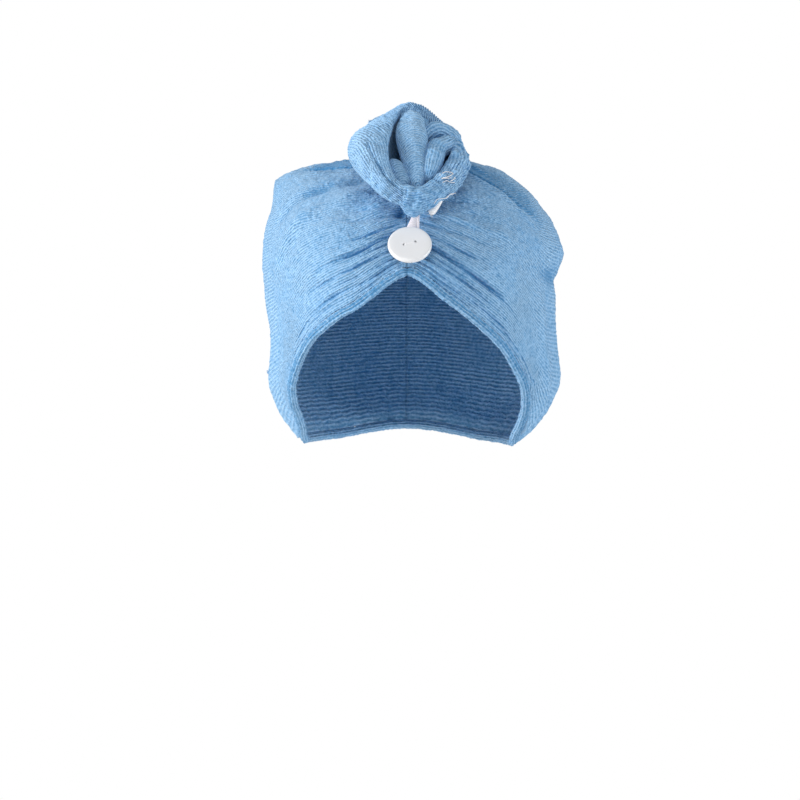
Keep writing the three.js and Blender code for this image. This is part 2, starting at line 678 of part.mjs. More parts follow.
const buttonSides = 32;
const rimSteps = 4;
function buttonDisc() {
  const flat = buttonDiameter / 2 - buttonRim;
  const profile = [new THREE.Vector2(0, 0)];
  for (const [middle, from] of [[buttonRim, -90], [buttonThickness - buttonRim, 0]]) {
    for (let i = 0; i <= rimSteps; i += 1) {
      const turn = THREE.MathUtils.degToRad(from + (90 * i) / rimSteps);
      profile.push(new THREE.Vector2(flat + buttonRim * Math.cos(turn), middle + buttonRim * Math.sin(turn)));
    }
  }
  profile.push(new THREE.Vector2(0, buttonThickness));
  const spun = new THREE.LatheGeometry(profile, buttonSides);
  spun.rotateX(Math.PI / 2);
  let disc = solidOf(spun);
  for (const place of holePlaces()) {
    const drill = new THREE.CylinderGeometry(buttonHole / 2, buttonHole / 2, 3 * buttonThickness, 12);
    drill.rotateX(Math.PI / 2);
    drill.translate(place.x, place.y, buttonThickness / 2);
    disc = disc.subtract(solidOf(drill));
  }
  return disc;
}

// A straight round rod between two places.
function rod(from, to, diameter) {
  const axis = to.clone().sub(from);
  const bar = new THREE.CylinderGeometry(diameter / 2, diameter / 2, axis.length(), cordSides);
  const up = new THREE.Vector3(0, 1, 0);
  bar.applyQuaternion(new THREE.Quaternion().setFromUnitVectors(up, axis.normalize()));
  const middle = from.clone().add(to).multiplyScalar(0.5);
  bar.translate(middle.x, middle.y, middle.z);
  return solidOf(bar);
}

// The sewing thread: a bar over the face, a leg in each hole, a bar behind and the shank that
// goes down to the cloth.
function buttonThread() {
  const over = buttonThickness + pieceGap + threadDiameter / 2;
  const behind = -pieceGap - threadDiameter / 2;
  const overhang = 1 + threadDiameter / buttonHoleSpacing;
  const at = (place, height, share = 1) => new THREE.Vector3(place.x * share, place.y * share, height);
  const [left, right] = holePlaces();
  let thread = rod(at(left, behind, overhang), at(right, behind, overhang), threadDiameter);
  thread = thread.add(rod(at(left, over, overhang), at(right, over, overhang), threadDiameter));
  for (const place of [left, right]) {
    const leg = rod(at(place, over), at(place, behind), threadDiameter);
    thread = thread.add(leg);
  }
  const centre = new THREE.Vector2(0, 0);
  return thread.add(rod(at(centre, behind), at(centre, -2 * buttonBack), threadShank));
}

// The elastic loop: sewn into the knot's foot, it parts round the button's shank. Its points are
// in the button's own frame, so it lies between the button and the hood.
function loopPoints() {
  const half = loopSpread / 2;
  const low = -(threadShank / 2 + pieceGap + loopCord);
  const behind = -loopBehind;
  const foot = footTip.clone().applyMatrix4(buttonFrame.clone().invert());
  const rows = [
    { across: -0.3, up: foot.y + loopSewnIn, out: behind + 3.4 },
    { across: -0.5, up: foot.y - 1.5, out: behind + 1.2 },
    { across: -1, up: buttonDiameter / 2 - 2, out: behind },
    { across: -1, up: 0, out: behind },
    { across: -0.7, up: low * 0.85, out: behind },
    { across: 0, up: low * 1.12, out: behind },
  ];
  const strand = (row, hand) =>
    new THREE.Vector3(hand * row.across * half + loopLean * fade(row.up, 0, foot.y), row.up, row.out);
  const down = rows.map((row) => strand(row, 1));
  const back = rows.slice(0, -1).reverse().map((row) => strand(row, -1));
  return [...down, ...back].map((p) => p.applyMatrix4(buttonFrame));
}

// The free end of the elastic, a short stub that comes out under the knot's right side.
const stubBase = { across: 0.255, rise: 0.15, reach: 0.84 };
const stubHeading = new THREE.Vector3(-0.5, -0.25, -0.8).normalize();
function stubPoints() {
  const base = tailPlace(stubBase);
  const tip = base.clone().addScaledVector(stubHeading, tagLength);
  return [base, base.clone().lerp(tip, 0.5), tip];
}

const largest = (solid) => solid.decompose().sort((a, b) => b.volume() - a.volume())[0];
const aboveHood = hoodMould(pieceGap);

// The tail: its rim, the folds in its mouth and the twist behind it are one cloth, which sits
// on the hood and leaves room for the elastic sewn into it.
function tailCloth() {
  let tail = knotRim();
  for (const rows of Object.values(innerFolds)) tail = tail.add(softFold(rows));
  tail = tail.add(twistedRoll()).subtract(aboveHood);
  tail = tail.subtract(cordSolid(loopPoints(), loopCord, pieceGap));
  tail = tail.subtract(cordSolid(stubPoints(), tagDiameter, pieceGap));
  return largest(tail);
}

function placed(mesh, frame) {
  mesh.applyMatrix4(frame);
  return mesh;
}

const threadTrim = aboveHood.transform([...buttonFrame.clone().invert().elements]);

const group = new THREE.Group();
group.add(named("hood_left", hoodPanel(-1), cloth));
group.add(named("hood_right", hoodPanel(1), cloth));
group.add(named("face_hem", hemRoll(), hemCloth));
group.add(named("tail", tailCloth(), cloth));
group.add(placed(named("button", buttonDisc(), buttonPlastic), buttonFrame));
const thread = largest(buttonThread().subtract(threadTrim));
group.add(placed(named("button_thread", thread, elastic), buttonFrame));
const loop = largest(cordSolid(loopPoints(), loopCord).subtract(aboveHood));
group.add(named("elastic_loop", loop, elastic));
const stub = largest(cordSolid(stubPoints(), tagDiameter).subtract(aboveHood));
group.add(named("loop_end", stub, elastic));

export default group;
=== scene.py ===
import math

import bpy
import numpy as np
from mathutils import Matrix, Vector
from mathutils.bvhtree import BVHTree


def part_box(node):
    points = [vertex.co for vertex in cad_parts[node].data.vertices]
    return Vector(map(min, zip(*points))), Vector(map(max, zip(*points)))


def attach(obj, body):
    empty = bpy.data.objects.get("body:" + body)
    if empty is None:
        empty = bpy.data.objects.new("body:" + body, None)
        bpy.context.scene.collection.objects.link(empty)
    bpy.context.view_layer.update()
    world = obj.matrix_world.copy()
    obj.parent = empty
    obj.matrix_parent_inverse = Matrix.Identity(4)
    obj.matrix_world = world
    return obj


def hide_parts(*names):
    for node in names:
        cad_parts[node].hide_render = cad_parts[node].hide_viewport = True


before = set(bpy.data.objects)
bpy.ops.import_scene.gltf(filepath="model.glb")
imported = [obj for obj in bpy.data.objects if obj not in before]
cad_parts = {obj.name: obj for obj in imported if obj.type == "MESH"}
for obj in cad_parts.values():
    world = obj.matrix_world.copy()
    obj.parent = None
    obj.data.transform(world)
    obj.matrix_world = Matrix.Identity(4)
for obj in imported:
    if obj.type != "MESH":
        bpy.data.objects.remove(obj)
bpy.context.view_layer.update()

bl_info = {
    "name": "Hair Turban Towel",
    "version": (1, 0, 0),
    "blender": (4, 5, 0),
    "location": "View3D > Sidebar > Turban",
    "description": "A towelling hair turban with a rolled knot, a button and an elastic loop",
    "category": "Add Mesh",
}

MM = 0.001
CAMERA_PLACE = (-0.0042, -1.8, -0.145)
LENS_MM = 135
SENSOR_MM = 36
FRAME_PIXELS = 800


def table(columns, *rows):
    """A short table with named columns, as one array for each column."""
    return dict(zip(columns.split(), np.array(rows, float).T))


# The hood's sections. drop: share of the height below the crown. left, right: shares of half the
# width. front, back: shares of half the depth.
SECTIONS = table(
    "drop left right front back",
    (0, 0, 0, 0, 0),
    (0.026, 0.53, 0.44, 0.3, 0.42),
    (0.06, 0.775, 0.625, 0.44, 0.6),
    (0.1, 0.905, 0.735, 0.57, 0.73),
    (0.18, 0.917, 0.89, 0.735, 0.87),
    (0.33, 0.953, 1.024, 0.915, 0.985),
    (0.455, 0.933, 0.985, 0.965, 1.01),
    (0.62, 0.908, 0.998, 0.93, 0.985),
    (0.78, 0.913, 1.025, 0.8, 0.91),
    (0.855, 0.868, 0.984, 0.7, 0.85),
    (0.92, 0.782, 0.89, 0.6, 0.79),
    (1, 0.675, 0.7, 0.5, 0.71),
)
SECTIONS["root"] = np.sqrt(SECTIONS["drop"])
CORNER_FULLNESS = 0.03

# The opening's edge. angle: degrees round from the front. left, right: drops. The first and the
# last row mirror their neighbours, which keeps the peak and the nape round.
OPENING = table(
    "angle left right",
    (-6, 0.466, 0.47),
    (0, 0.443, 0.443),
    (6, 0.466, 0.47),
    (12, 0.503, 0.512),
    (20, 0.548, 0.563),
    (28, 0.581, 0.617),
    (35, 0.616, 0.671),
    (41, 0.651, 0.742),
    (46, 0.697, 0.808),
    (50, 0.745, 0.87),
    (55, 0.822, 0.923),
    (60, 0.899, 0.956),
    (68, 0.953, 0.981),
    (90, 0.99, 0.999),
    (135, 0.98, 0.985),
    (180, 0.945, 0.945),
    (225, 0.98, 0.985),
)

# Gathers run round the hood from the button seam. side: -1 left, 1 right. rise, rise_end: share of
# the way from the edge to the crown, where the gather starts and ends. from, to: degrees. width,
# height: millimetres, negative for a groove.
GATHERS = table(
    "side rise rise_end from to width height",
    (-1, 0.067, 0.072, 0, 58, 1.3, -1.6),
    (-1, 0.124, 0.135, 1, 46, 1.3, -2.2),
    (-1, 0.196, 0.168, 1, 42, 1.8, -3.6),
    (-1, 0.235, 0.225, 1, 36, 1.3, -2.4),
    (-1, 0.285, 0.33, 2, 32, 1.3, -1.4),
    (-1, 0.343, 0.28, 8, 56, 6.5, 1.6),
    (-1, 0.455, 0.33, 12, 72, 9.0, 3.0),
    (-1, 0.56, 0.47, 16, 70, 7.5, -2.6),
    (-1, 0.715, 0.7, 19, 56, 2.0, -4.0),
    (-1, 0.79, 0.79, 22, 60, 5.0, 0.5),
    (-1, 0.64, 0.64, 20, 66, 4.5, 1.2),
    (1, 0.055, 0.06, 0, 60, 1.3, -1.6),
    (1, 0.103, 0.09, 1, 44, 1.3, -2.0),
    (1, 0.158, 0.128, 1, 46, 2.1, -4.2),
    (1, 0.2, 0.2, 1, 38, 1.4, -2.2),
    (1, 0.25, 0.27, 2, 38, 1.3, -1.5),
    (1, 0.31, 0.35, 5, 52, 5.0, 1.6),
    (1, 0.42, 0.4, 52, 122, 8.0, 1.4),
    (1, 0.34, 0.33, 56, 116, 6.0, -1.8),
    (1, 0.75, 0.47, 25, 60, 1.9, -4.4),
    (1, 0.825, 0.55, 25, 62, 3.6, 1.2),
    (1, 0.69, 0.41, 25, 62, 4.0, 1.5),
)

# Fine pleats between the gathers, close to the seam. The columns are as above.
FINE_PLEATS = table(
    "side rise rise_end from to width height",
    (-1, 0.03, 0.03, 0, 60, 0.9, 0.7),
    (-1, 0.048, 0.05, 0, 60, 0.9, -0.9),
    (-1, 0.09, 0.1, 0, 36, 1.0, -1.3),
    (-1, 0.108, 0.122, 0, 32, 1.0, 1.0),
    (-1, 0.155, 0.17, 0, 34, 1.0, -1.5),
    (-1, 0.17, 0.185, 0, 36, 1.0, 1.2),
    (-1, 0.21, 0.235, 0, 30, 1.1, 1.4),
    (-1, 0.25, 0.3, 0, 28, 1.1, 1.1),
    (-1, 0.27, 0.32, 1, 26, 1.0, -0.9),
    (-1, 0.315, 0.38, 1, 30, 1.2, -1.0),
    (-1, 0.335, 0.4, 1, 30, 1.2, 0.9),
    (-1, 0.36, 0.43, 2, 30, 1.2, -0.9),
    (-1, 0.4, 0.49, 4, 30, 1.3, -0.7),
    (1, 0.026, 0.028, 0, 60, 0.9, 0.7),
    (1, 0.04, 0.042, 0, 60, 0.9, -0.9),
    (1, 0.075, 0.072, 0, 38, 1.0, -1.3),
    (1, 0.09, 0.08, 0, 34, 1.0, 1.1),
    (1, 0.127, 0.105, 0, 36, 1.0, -1.5),
    (1, 0.178, 0.165, 0, 34, 1.2, 1.5),
    (1, 0.226, 0.24, 0, 32, 1.1, 1.2),
    (1, 0.24, 0.26, 1, 30, 1.0, -0.9),
    (1, 0.275, 0.31, 1, 32, 1.1, -1.1),
    (1, 0.29, 0.33, 1, 34, 1.1, 0.9),
    (1, 0.335, 0.39, 2, 36, 1.2, -0.9),
    (1, 0.375, 0.45, 3, 36, 1.3, -0.8),
)

# The cloth behind the folds beside the knot is painted darker, as painted shade. side, rise, rise_end,
# from, to: as above.
SHADED = table(
    "side rise rise_end from to",
    (-1, 0.715, 0.7, 19, 56),
    (1, 0.75, 0.47, 25, 60),
)

# Small pits beside the knot's foot. angle: degrees round. wide: degrees. tall: rise. deep:
# millimetres.
PITS = table(
    "angle rise wide tall deep",
    (-2.6, 0.287, 1.9, 0.022, 4.0),
    (2.4, 0.262, 1.6, 0.014, 1.6),
)

# Where the pile is painted paler, as painted light, and where it is painted darker, as painted
# shade. angle, wide: degrees round. rise, tall: shares of the way up. pale: negative for painted shade.
PAINTED_LIGHT_SPOTS = table(
    "angle rise wide tall pale",
    (-66, 0.3, 26, 0.3, 0.42),
    (-34, 0.4, 16, 0.08, 0.25),
    (30, 0.42, 22, 0.16, -0.08),
    (66, 0.2, 22, 0.2, 0.06),
)

# Pleats run up the hood. angle, angle_end: degrees round, at the lower and the upper end. from,
# to: rises. width: degrees. height: millimetres.
PLEATS = table(
    "side angle angle_end from to width height",
    (1, 63, 58, 0, 0.36, 5, 2.4),
    (1, 74, 70, 0, 0.34, 6, -2.9),
    (1, 76, 84, 0.28, 0.6, 8, 1.6),
    (-1, 70, 66, 0, 0.4, 7, -1.6),
    (-1, 96, 88, 0.05, 0.6, 10, 1.6),
    (-1, 128, 118, 0.1, 0.75, 9, -2.2),
    (1, 122, 112, 0.1, 0.7, 9, -2.2),
    (1, 152, 140, 0.25, 0.8, 8, -1.9),
    (-1, 158, 146, 0.3, 0.85, 7, -1.9),
)

# The knot's rim, round its mouth from the bottom, clockwise from the front: its inner edge, the
# lip, and its outer edge, the brow. across: share of the tail's width. rise: share of its rise.
# reach: share of its reach. bulge: share of the distance from lip to brow.
LIPS = table(
    "across rise reach",
    (0.04, 0.245, 0.92),
    (-0.06, 0.275, 0.91),
    (-0.125, 0.385, 0.865),
    (-0.15, 0.515, 0.79),
    (-0.14, 0.645, 0.69),
    (-0.1, 0.79, 0.53),
    (-0.04, 0.9, 0.38),
    (0.04, 0.9, 0.35),
    (0.16, 0.82, 0.36),
    (0.27, 0.73, 0.4),
    (0.35, 0.62, 0.5),
    (0.325, 0.5, 0.64),
    (0.23, 0.35, 0.8),
    (0.14, 0.26, 0.9),
)
BROWS = table(
    "across rise reach bulge",
    (0.045, -0.005, 0.915, 0.3),
    (-0.012, 0.014, 0.915, 0.3),
    (-0.06, 0.085, 0.915, 0.26),
    (-0.185, 0.155, 0.905, 0.32),
    (-0.31, 0.275, 0.845, 0.38),
    (-0.42, 0.41, 0.735, 0.4),
    (-0.455, 0.57, 0.62, 0.34),
    (-0.365, 0.69, 0.49, 0.26),
    (-0.18, 0.85, 0.36, 0.26),
    (-0.06, 0.94, 0.27, 0.32),
    (0.06, 0.945, 0.24, 0.34),
    (0.19, 0.875, 0.24, 0.34),
    (0.31, 0.755, 0.29, 0.34),
    (0.41, 0.64, 0.4, 0.34),
    (0.44, 0.545, 0.48, 0.34),
    (0.49, 0.44, 0.57, 0.36),
    (0.45, 0.335, 0.66, 0.4),
    (0.38, 0.215, 0.76, 0.42),
    (0.2, 0.075, 0.88, 0.4),
    (0.1, 0.014, 0.905, 0.36),
)

# Folds inside the mouth, along their ridges. wide, deep: half sizes, shares of the tail's width.
FOLD_COLUMNS = "across rise reach wide deep"
TONGUE = table(
    FOLD_COLUMNS,
    (0.015, 0.9, 0.37, 0.045, 0.05),
    (0.03, 0.8, 0.46, 0.1, 0.08),
    (0.035, 0.65, 0.57, 0.125, 0.1),
    (0.055, 0.46, 0.69, 0.1, 0.09),
    (0.08, 0.2, 0.84, 0.065, 0.08),
)
UPPER_TUCK = table(
    FOLD_COLUMNS,
    (0.1, 0.63, 0.5, 0.05, 0.07),
    (0.165, 0.705, 0.48, 0.055, 0.075),
    (0.25, 0.735, 0.46, 0.055, 0.075),
    (0.33, 0.7, 0.44, 0.055, 0.07),
    (0.4, 0.62, 0.43, 0.05, 0.06),
)
LOWER_TUCK = table(
    FOLD_COLUMNS,
    (0.38, 0.635, 0.43, 0.05, 0.06),
    (0.3, 0.61, 0.5, 0.075, 0.085),
    (0.22, 0.545, 0.59, 0.085, 0.1),
    (0.188, 0.43, 0.7, 0.085, 0.1),
    (0.15, 0.27, 0.8, 0.065, 0.085),
)
FLOOR_TUCK = table(
    FOLD_COLUMNS,
    (-0.13, 0.44, 0.66, 0.05, 0.06),
    (-0.08, 0.37, 0.74, 0.075, 0.08),
    (-0.02, 0.22, 0.84, 0.06, 0.07),
)

# The twisted stretch over the crown. back: share of half the hood's depth. sink: share of its
# height. wide: half width, a share of the tail's width. tall: half height, a share of its rise.
# turn: degrees.
TWIST = table(
    "back sink wide tall turn",
    (-0.52, -0.03, 0.3, 0.24, -20),
    (-0.34, -0.04, 0.37, 0.27, 15),
    (-0.06, -0.045, 0.38, 0.22, 65),
    (0.2, -0.035, 0.33, 0.19, 120),
    (0.45, 0.005, 0.3, 0.17, 170),
    (0.64, 0.08, 0.27, 0.15, 210),
    (0.76, 0.18, 0.22, 0.12, 235),
    (0.8, 0.29, 0.16, 0.08, 250),
)
TWIST_LOBES = 3
TWIST_RIBS = 84


def smooth_step(x, low, high):
    """0 below low, 1 above high and a soft curve between them."""
    s = np.clip((x - low) / (high - low), 0, 1)
    return s * s * (3 - 2 * s)


def bell(distance, width):
    """A soft bump, 1 at its middle."""
    return np.exp(-((distance / width) ** 2))


def window(x, start, full, fade, end):
    """1 from full to fade, falling softly to 0 at start and at end."""
    return smooth_step(x, start, full) * (1 - smooth_step(x, fade, end))


def along(rows, key, column, x):
    """The value of a table's column at x, on a smooth curve that never overshoots its rows."""
    xs, ys = rows[key], rows[column]
    step = np.diff(xs)
    slope = np.diff(ys) / step
    before, after = slope[:-1], slope[1:]
    same = before * after > 0
    middle = np.where(same, 2 * before * after / np.where(same, before + after, 1), 0)
    tangent = np.concatenate([slope[:1], middle, slope[-1:]])
    i = np.clip(np.searchsorted(xs, x, side="right") - 1, 0, len(xs) - 2)
    s = np.clip((x - xs[i]) / step[i], 0, 1)
    s2, s3 = s * s, s * s * s
    return (
        (2 * s3 - 3 * s2 + 1) * ys[i]
        + (s3 - 2 * s2 + s) * step[i] * tangent[i]
        + (3 * s2 - 2 * s3) * ys[i + 1]
        + (s3 - s2) * step[i] * tangent[i + 1]
    )


def unit(vectors):
    """The vectors at length 1."""
    return vectors / np.maximum(np.linalg.norm(vectors, axis=-1, keepdims=True), 1e-12)


def run_lengths(points):
    """How far along a line each of its points lies."""
    return np.concatenate([[0], np.cumsum(np.linalg.norm(np.diff(points, axis=0), axis=1))])


def shares_round(sides, extra=0):
    """Shares of the way round a section for each of its points."""
    return np.arange(sides + extra) / sides


def sections(centre, side, up, across, upward):
    """Rings of points round a centre line."""
    return centre[:, None] + side[:, None] * across[..., None] + up[:, None] * upward[..., None]


def spread(values, columns):
    """A column of values repeated over a lattice's columns."""
    return np.repeat(np.asarray(values, float)[:, None], columns, 1)


def repeat_rows(values, rows):
    """A row of values repeated over a lattice's rows."""
    return np.repeat(np.asarray(values, float)[None, :], rows, 0)


def soft_noise(points, size, seed, waves=10):
    """A smooth random field over points in space, about -1 to 1, with features of a given size."""
    rng = np.random.default_rng(seed)
    total = np.zeros(points.shape[:-1])
    for _ in range(waves):
        heading = unit(rng.normal(size=3)) * rng.uniform(0.6, 1.5)
        total += np.sin(points @ heading * (2 * math.pi / size) + rng.uniform(0, 2 * math.pi))
    return total / math.sqrt(waves)


def smooth_curve(points, count, closed=False):
    """A smooth curve through points, as count places equally spaced along it."""
    p = np.asarray(points, float)
    n = len(p)
    if closed:
        p = np.concatenate([p[-1:], p, p[:2]])
    else:
        p = np.concatenate([2 * p[:1] - p[1:2], p, 2 * p[-1:] - p[-2:-1]])
    s = np.linspace(0, 1, 24, endpoint=False)[:, None]
    parts = []
    for i in range(n if closed else n - 1):
        a, b, c, d = p[i : i + 4]
        bend, swing = 2 * a - 5 * b + 4 * c - d, 3 * b - a - 3 * c + d
        parts.append(0.5 * (2 * b + (c - a) * s + bend * s**2 + swing * s**3))
    curve = np.concatenate(parts + [p[1:2] if closed else p[-2:-1]])
    lengths = run_lengths(curve[:, :3])
    goals = np.linspace(0, lengths[-1], count, endpoint=not closed)
    return np.stack([np.interp(goals, lengths, curve[:, k]) for k in range(curve.shape[1])], -1)


class TurbanSizes(bpy.types.PropertyGroup):
    """The turban's real sizes."""

    def length(name, default_mm, description):
        shown = {"unit": "LENGTH", "subtype": "DISTANCE", "precision": 4}
        return bpy.props.FloatProperty(name=name, description=description, default=default_mm * MM, **shown)

    hood_width: length("Hood width", 178, "Width of the hood from side to side")
    hood_depth: length("Hood depth", 214, "Depth of the hood from front to back")
    hood_height: length("Hood height", 176, "Height of the hood from its lower edge to its crown")
    hood_wall: length("Hood wall", 3.2, "Thickness of the towelling")
    hem_height: length("Hem height", 5, "Height of the rolled hem")
    hem_thickness: length("Hem thickness", 4.6, "Thickness of the rolled hem")
    tail_width: length("Tail width", 74, "Width of the rolled knot")
    tail_rise: length("Tail rise", 71, "Height of the rolled knot")
    tail_reach: length("Tail reach", 88, "Length of the rolled knot from front to back")
    tail_foot: length("Tail foot", 41, "How far the knot hangs below the crown")
    tail_stand: length("Tail stand", 14, "How far the knot's foot stands off the hood")
    rib: length("Rib pitch", 1.7, "Distance from one rib of the towelling to the next")
    gap: length("Gap", 0.3, "Clearance between the pieces")


class TurbanColours(bpy.types.PropertyGroup):
    """The turban's colours."""

    def colour(name, default, description):
        return bpy.props.FloatVectorProperty(
            name=name, description=description, default=default, size=3, min=0, max=1, subtype="COLOR"
        )

    pile: colour("Pile", (0.36, 0.605, 0.885), "Towelling where its pile stands up")
    # the groove colour stands for towelling in painted shade, between the ribs and in the folds
    groove: colour("Groove", (0.06, 0.245, 0.5), "Towelling between its ribs")
    button: colour("Button", (0.8, 0.81, 0.83), "The button")
    elastic: colour("Elastic", (0.86, 0.83, 0.89), "The elastic")
    thread: colour("Thread", (0.93, 0.93, 0.95), "The sewing threads")
    floor: colour("Floor", (0.93, 0.93, 0.93), "The studio floor")


def sizes():
    return bpy.context.scene.turban_sizes


def colours():
    return bpy.context.scene.turban_colours


def hood_form(angle, root):
    """Points of the hood's plain outer form. angle: radians round from the front."""
    size = sizes()
    across, forward = np.sin(angle), np.cos(angle)
    full = 1 + CORNER_FULLNESS * np.sin(2 * angle) ** 2
    left, right = (along(SECTIONS, "root", side, root) for side in ("left", "right"))
    front, back = (along(SECTIONS, "root", side, root) for side in ("front", "back"))
    x = full * size.hood_width / 2 * np.where(across < 0, left, right) * across
    y = -full * size.hood_depth / 2 * np.where(forward > 0, front, back) * forward
    z = size.hood_wall - size.hood_height * root * root
    return np.stack([x, y, z + 0 * x], -1)


def hood_normal(angle, root):
    step = 1e-3
    root = np.maximum(root, 2 * step)
    around = hood_form(angle + step, root) - hood_form(angle - step, root)
    down = hood_form(angle, np.minimum(root + step, 1)) - hood_form(angle, root - step)
    return unit(np.cross(down, around))


def edge_root(angle):
    degrees = np.degrees(np.abs(angle))
    left, right = (along(OPENING, "angle", side, degrees) for side in ("left", "right"))
    return np.sqrt(np.where(angle < 0, left, right))


# From this depth on, a groove in the hood deepens more and more slowly.
DEEP_GROOVE = 3.4 * MM


def gather_lift(rows, angle, root, fade_in, fade_out):
    """How far a table of gathers lifts the cloth."""
    size = sizes()
    degrees, edge = np.degrees(np.abs(angle)), edge_root(angle)
    rise = 1 - root / edge
    rise_length = edge * size.hood_height * 1.8
    lift = np.zeros_like(root)
    for side, start, end, low, high, width, height in zip(*rows.values()):
        share = np.clip((degrees - low) / (high - low), 0, 1)
        off = (rise - (start + (end - start) * share)) * rise_length
        reach = window(degrees, low - 2, low + fade_in, high - fade_out, high)
        here = (np.sign(angle) == side) | (degrees < 1e-6)
        wander = 0.9 * MM * np.sin(0.19 * degrees + 40 * start) * smooth_step(degrees, 4, 16)
        uneven = 1 + 0.35 * np.sin(0.31 * degrees + 70 * start)
        lift += np.where(here, height * MM * reach * uneven * bell(off - wander, width * MM), 0)
    return lift


def all_gathers(angle, root):
    """How far the gathers and the fine pleats together lift the cloth."""
    return gather_lift(GATHERS, angle, root, 5, 18) + gather_lift(FINE_PLEATS, angle, root, 3, 14)


def pit_depth(angle, rise):
    """How deep the small pits are."""
    deep = np.zeros_like(rise)
    for middle, height, wide, tall, depth in zip(*PITS.values()):
        deep += depth * MM * bell(np.degrees(angle) - middle, wide) * bell(rise - height, tall)
    return deep


def fold_lift(angle, root):
    """How far the folds lift the cloth from the plain form."""
    degrees, rise = np.degrees(np.abs(angle)), 1 - root / edge_root(angle)
    lift = all_gathers(angle, root)
    for side, lower, upper, low, high, width, height in zip(*PLEATS.values()):
        share = np.clip((rise - low) / (high - low), 0, 1)
        off = degrees - (lower + (upper - lower) * share)
        reach = window(rise, low - 0.12, low + 0.04, high - 0.14, high)
        lift += np.where(np.sign(angle) == side, height * MM * reach * bell(off, width), 0)
    # the nape's edge is drawn into small waves
    reach = smooth_step(degrees, 100, 125) * (1 - smooth_step(rise, 0.02, 0.2))
    lift += 1.0 * MM * reach * np.cos(44 * angle)
    form = hood_form(angle, root)
    # pleats gather towards the root of the tail at the back
    off_x, off_z = form[..., 0], form[..., 2] + 0.03
    away, turn = np.hypot(off_x, off_z), np.arctan2(off_x, -off_z)
    reach = smooth_step(form[..., 1], 0.0, 0.05) * window(away, 0.012, 0.03, 0.05, 0.11)
    lift += 1.5 * MM * reach * np.cos(17 * turn + 1.3 * np.sin(3 * turn))
    lift += 0.9 * MM * soft_noise(form, 0.055, 4)
    lift += 0.35 * MM * soft_noise(form, 0.018, 5)
    # the seam is drawn in behind the button
    seam = bell(degrees, 7) * window(rise, 0.02, 0.1, 0.26, 0.4)
    beside = smooth_step(form[..., 1], 0.03, -0.03) * smooth_step(form[..., 2], -0.03, -0.005)
    lift = lift - 2.6 * MM * seam - 1.8 * MM * beside - pit_depth(angle, rise)
    low, soft = -DEEP_GROOVE, 1.6 * MM
    return np.where(lift < low, low + soft * np.tanh((lift - low) / soft), lift)


def painted_hood_shading(angle, root):
    """Painted shade for each place, up to 1: darker the deeper it lies in a gather or a pit, and in
    the bands behind the folds beside the knot. It is negative where painted light makes it paler.
    """
    degrees, rise = np.degrees(np.abs(angle)), 1 - root / edge_root(angle)
    # painted shade, darker the deeper a place lies in a gather or a pit
    depth = 0.8 * np.clip(-all_gathers(angle, root) / DEEP_GROOVE, 0, 1)
    depth += pit_depth(angle, rise) / (PITS["deep"].max() * MM)
    # painted shade in the bands behind the folds beside the knot
    for side, start, end, low, high in zip(*SHADED.values()):
        line = start + (end - start) * np.clip((degrees - low) / (high - low), 0, 1)
        reach = window(degrees, low - 6, low + 2, high - 6, high + 6)
        band = window(rise, line, line + 0.012, line + 0.1, line + 0.25)
        depth += np.where(np.sign(angle) == side, 0.7 * reach * band, 0)
    depth = np.clip(depth, 0, 1)
    # painted light: spots painted paler, and darker where pale is negative, as painted shade
    for middle, height, wide, tall, pale in zip(*PAINTED_LIGHT_SPOTS.values()):
        depth -= pale * bell(np.degrees(angle) - middle, wide) * bell(rise - height, tall)
    return depth


def cloth_point(angle, root, depth=0.0, follow=1.0):
    """Points of the cloth, a depth under its outer face."""
    lift = follow * fold_lift(angle, root) - depth
    return hood_form(angle, root) + hood_normal(angle, root) * lift[..., None]


def edge_columns(count):
    """Angles round the opening, equally spaced along its edge."""
    fine = np.linspace(-math.pi, math.pi, 4001)
    places = hood_form(fine, edge_root(fine))
    lengths = run_lengths(places)
    return np.interp(np.arange(count) / count * lengths[-1], lengths, fine)


def inward_of(angle, distance):
    """Steps square to the opening's edge, along the cloth."""
    step = 2e-3
    root = edge_root(angle)
    here = hood_form(angle, root)
    before, after = (hood_form(angle + way, edge_root(angle + way)) for way in (-step, step))
    normal = hood_normal(angle, root)
    inward = unit(np.cross(normal, after - before))
    goal = here + inward * distance
    a, r = angle.copy(), root.copy()
    for _ in range(12):
        p = hood_form(a, r)
        da = (hood_form(a + step, r) - p) / step
        dr = (p - hood_form(a, r - step)) / step
        miss = goal - p
        aa, ab, bb = (da * da).sum(-1), (da * dr).sum(-1), (dr * dr).sum(-1)
        det = aa * bb - ab * ab
        a = a + (bb * (miss * da).sum(-1) - ab * (miss * dr).sum(-1)) / det
        r = r + (aa * (miss * dr).sum(-1) - ab * (miss * da).sum(-1)) / det
    return a, np.minimum(r, 1), here, inward, normal


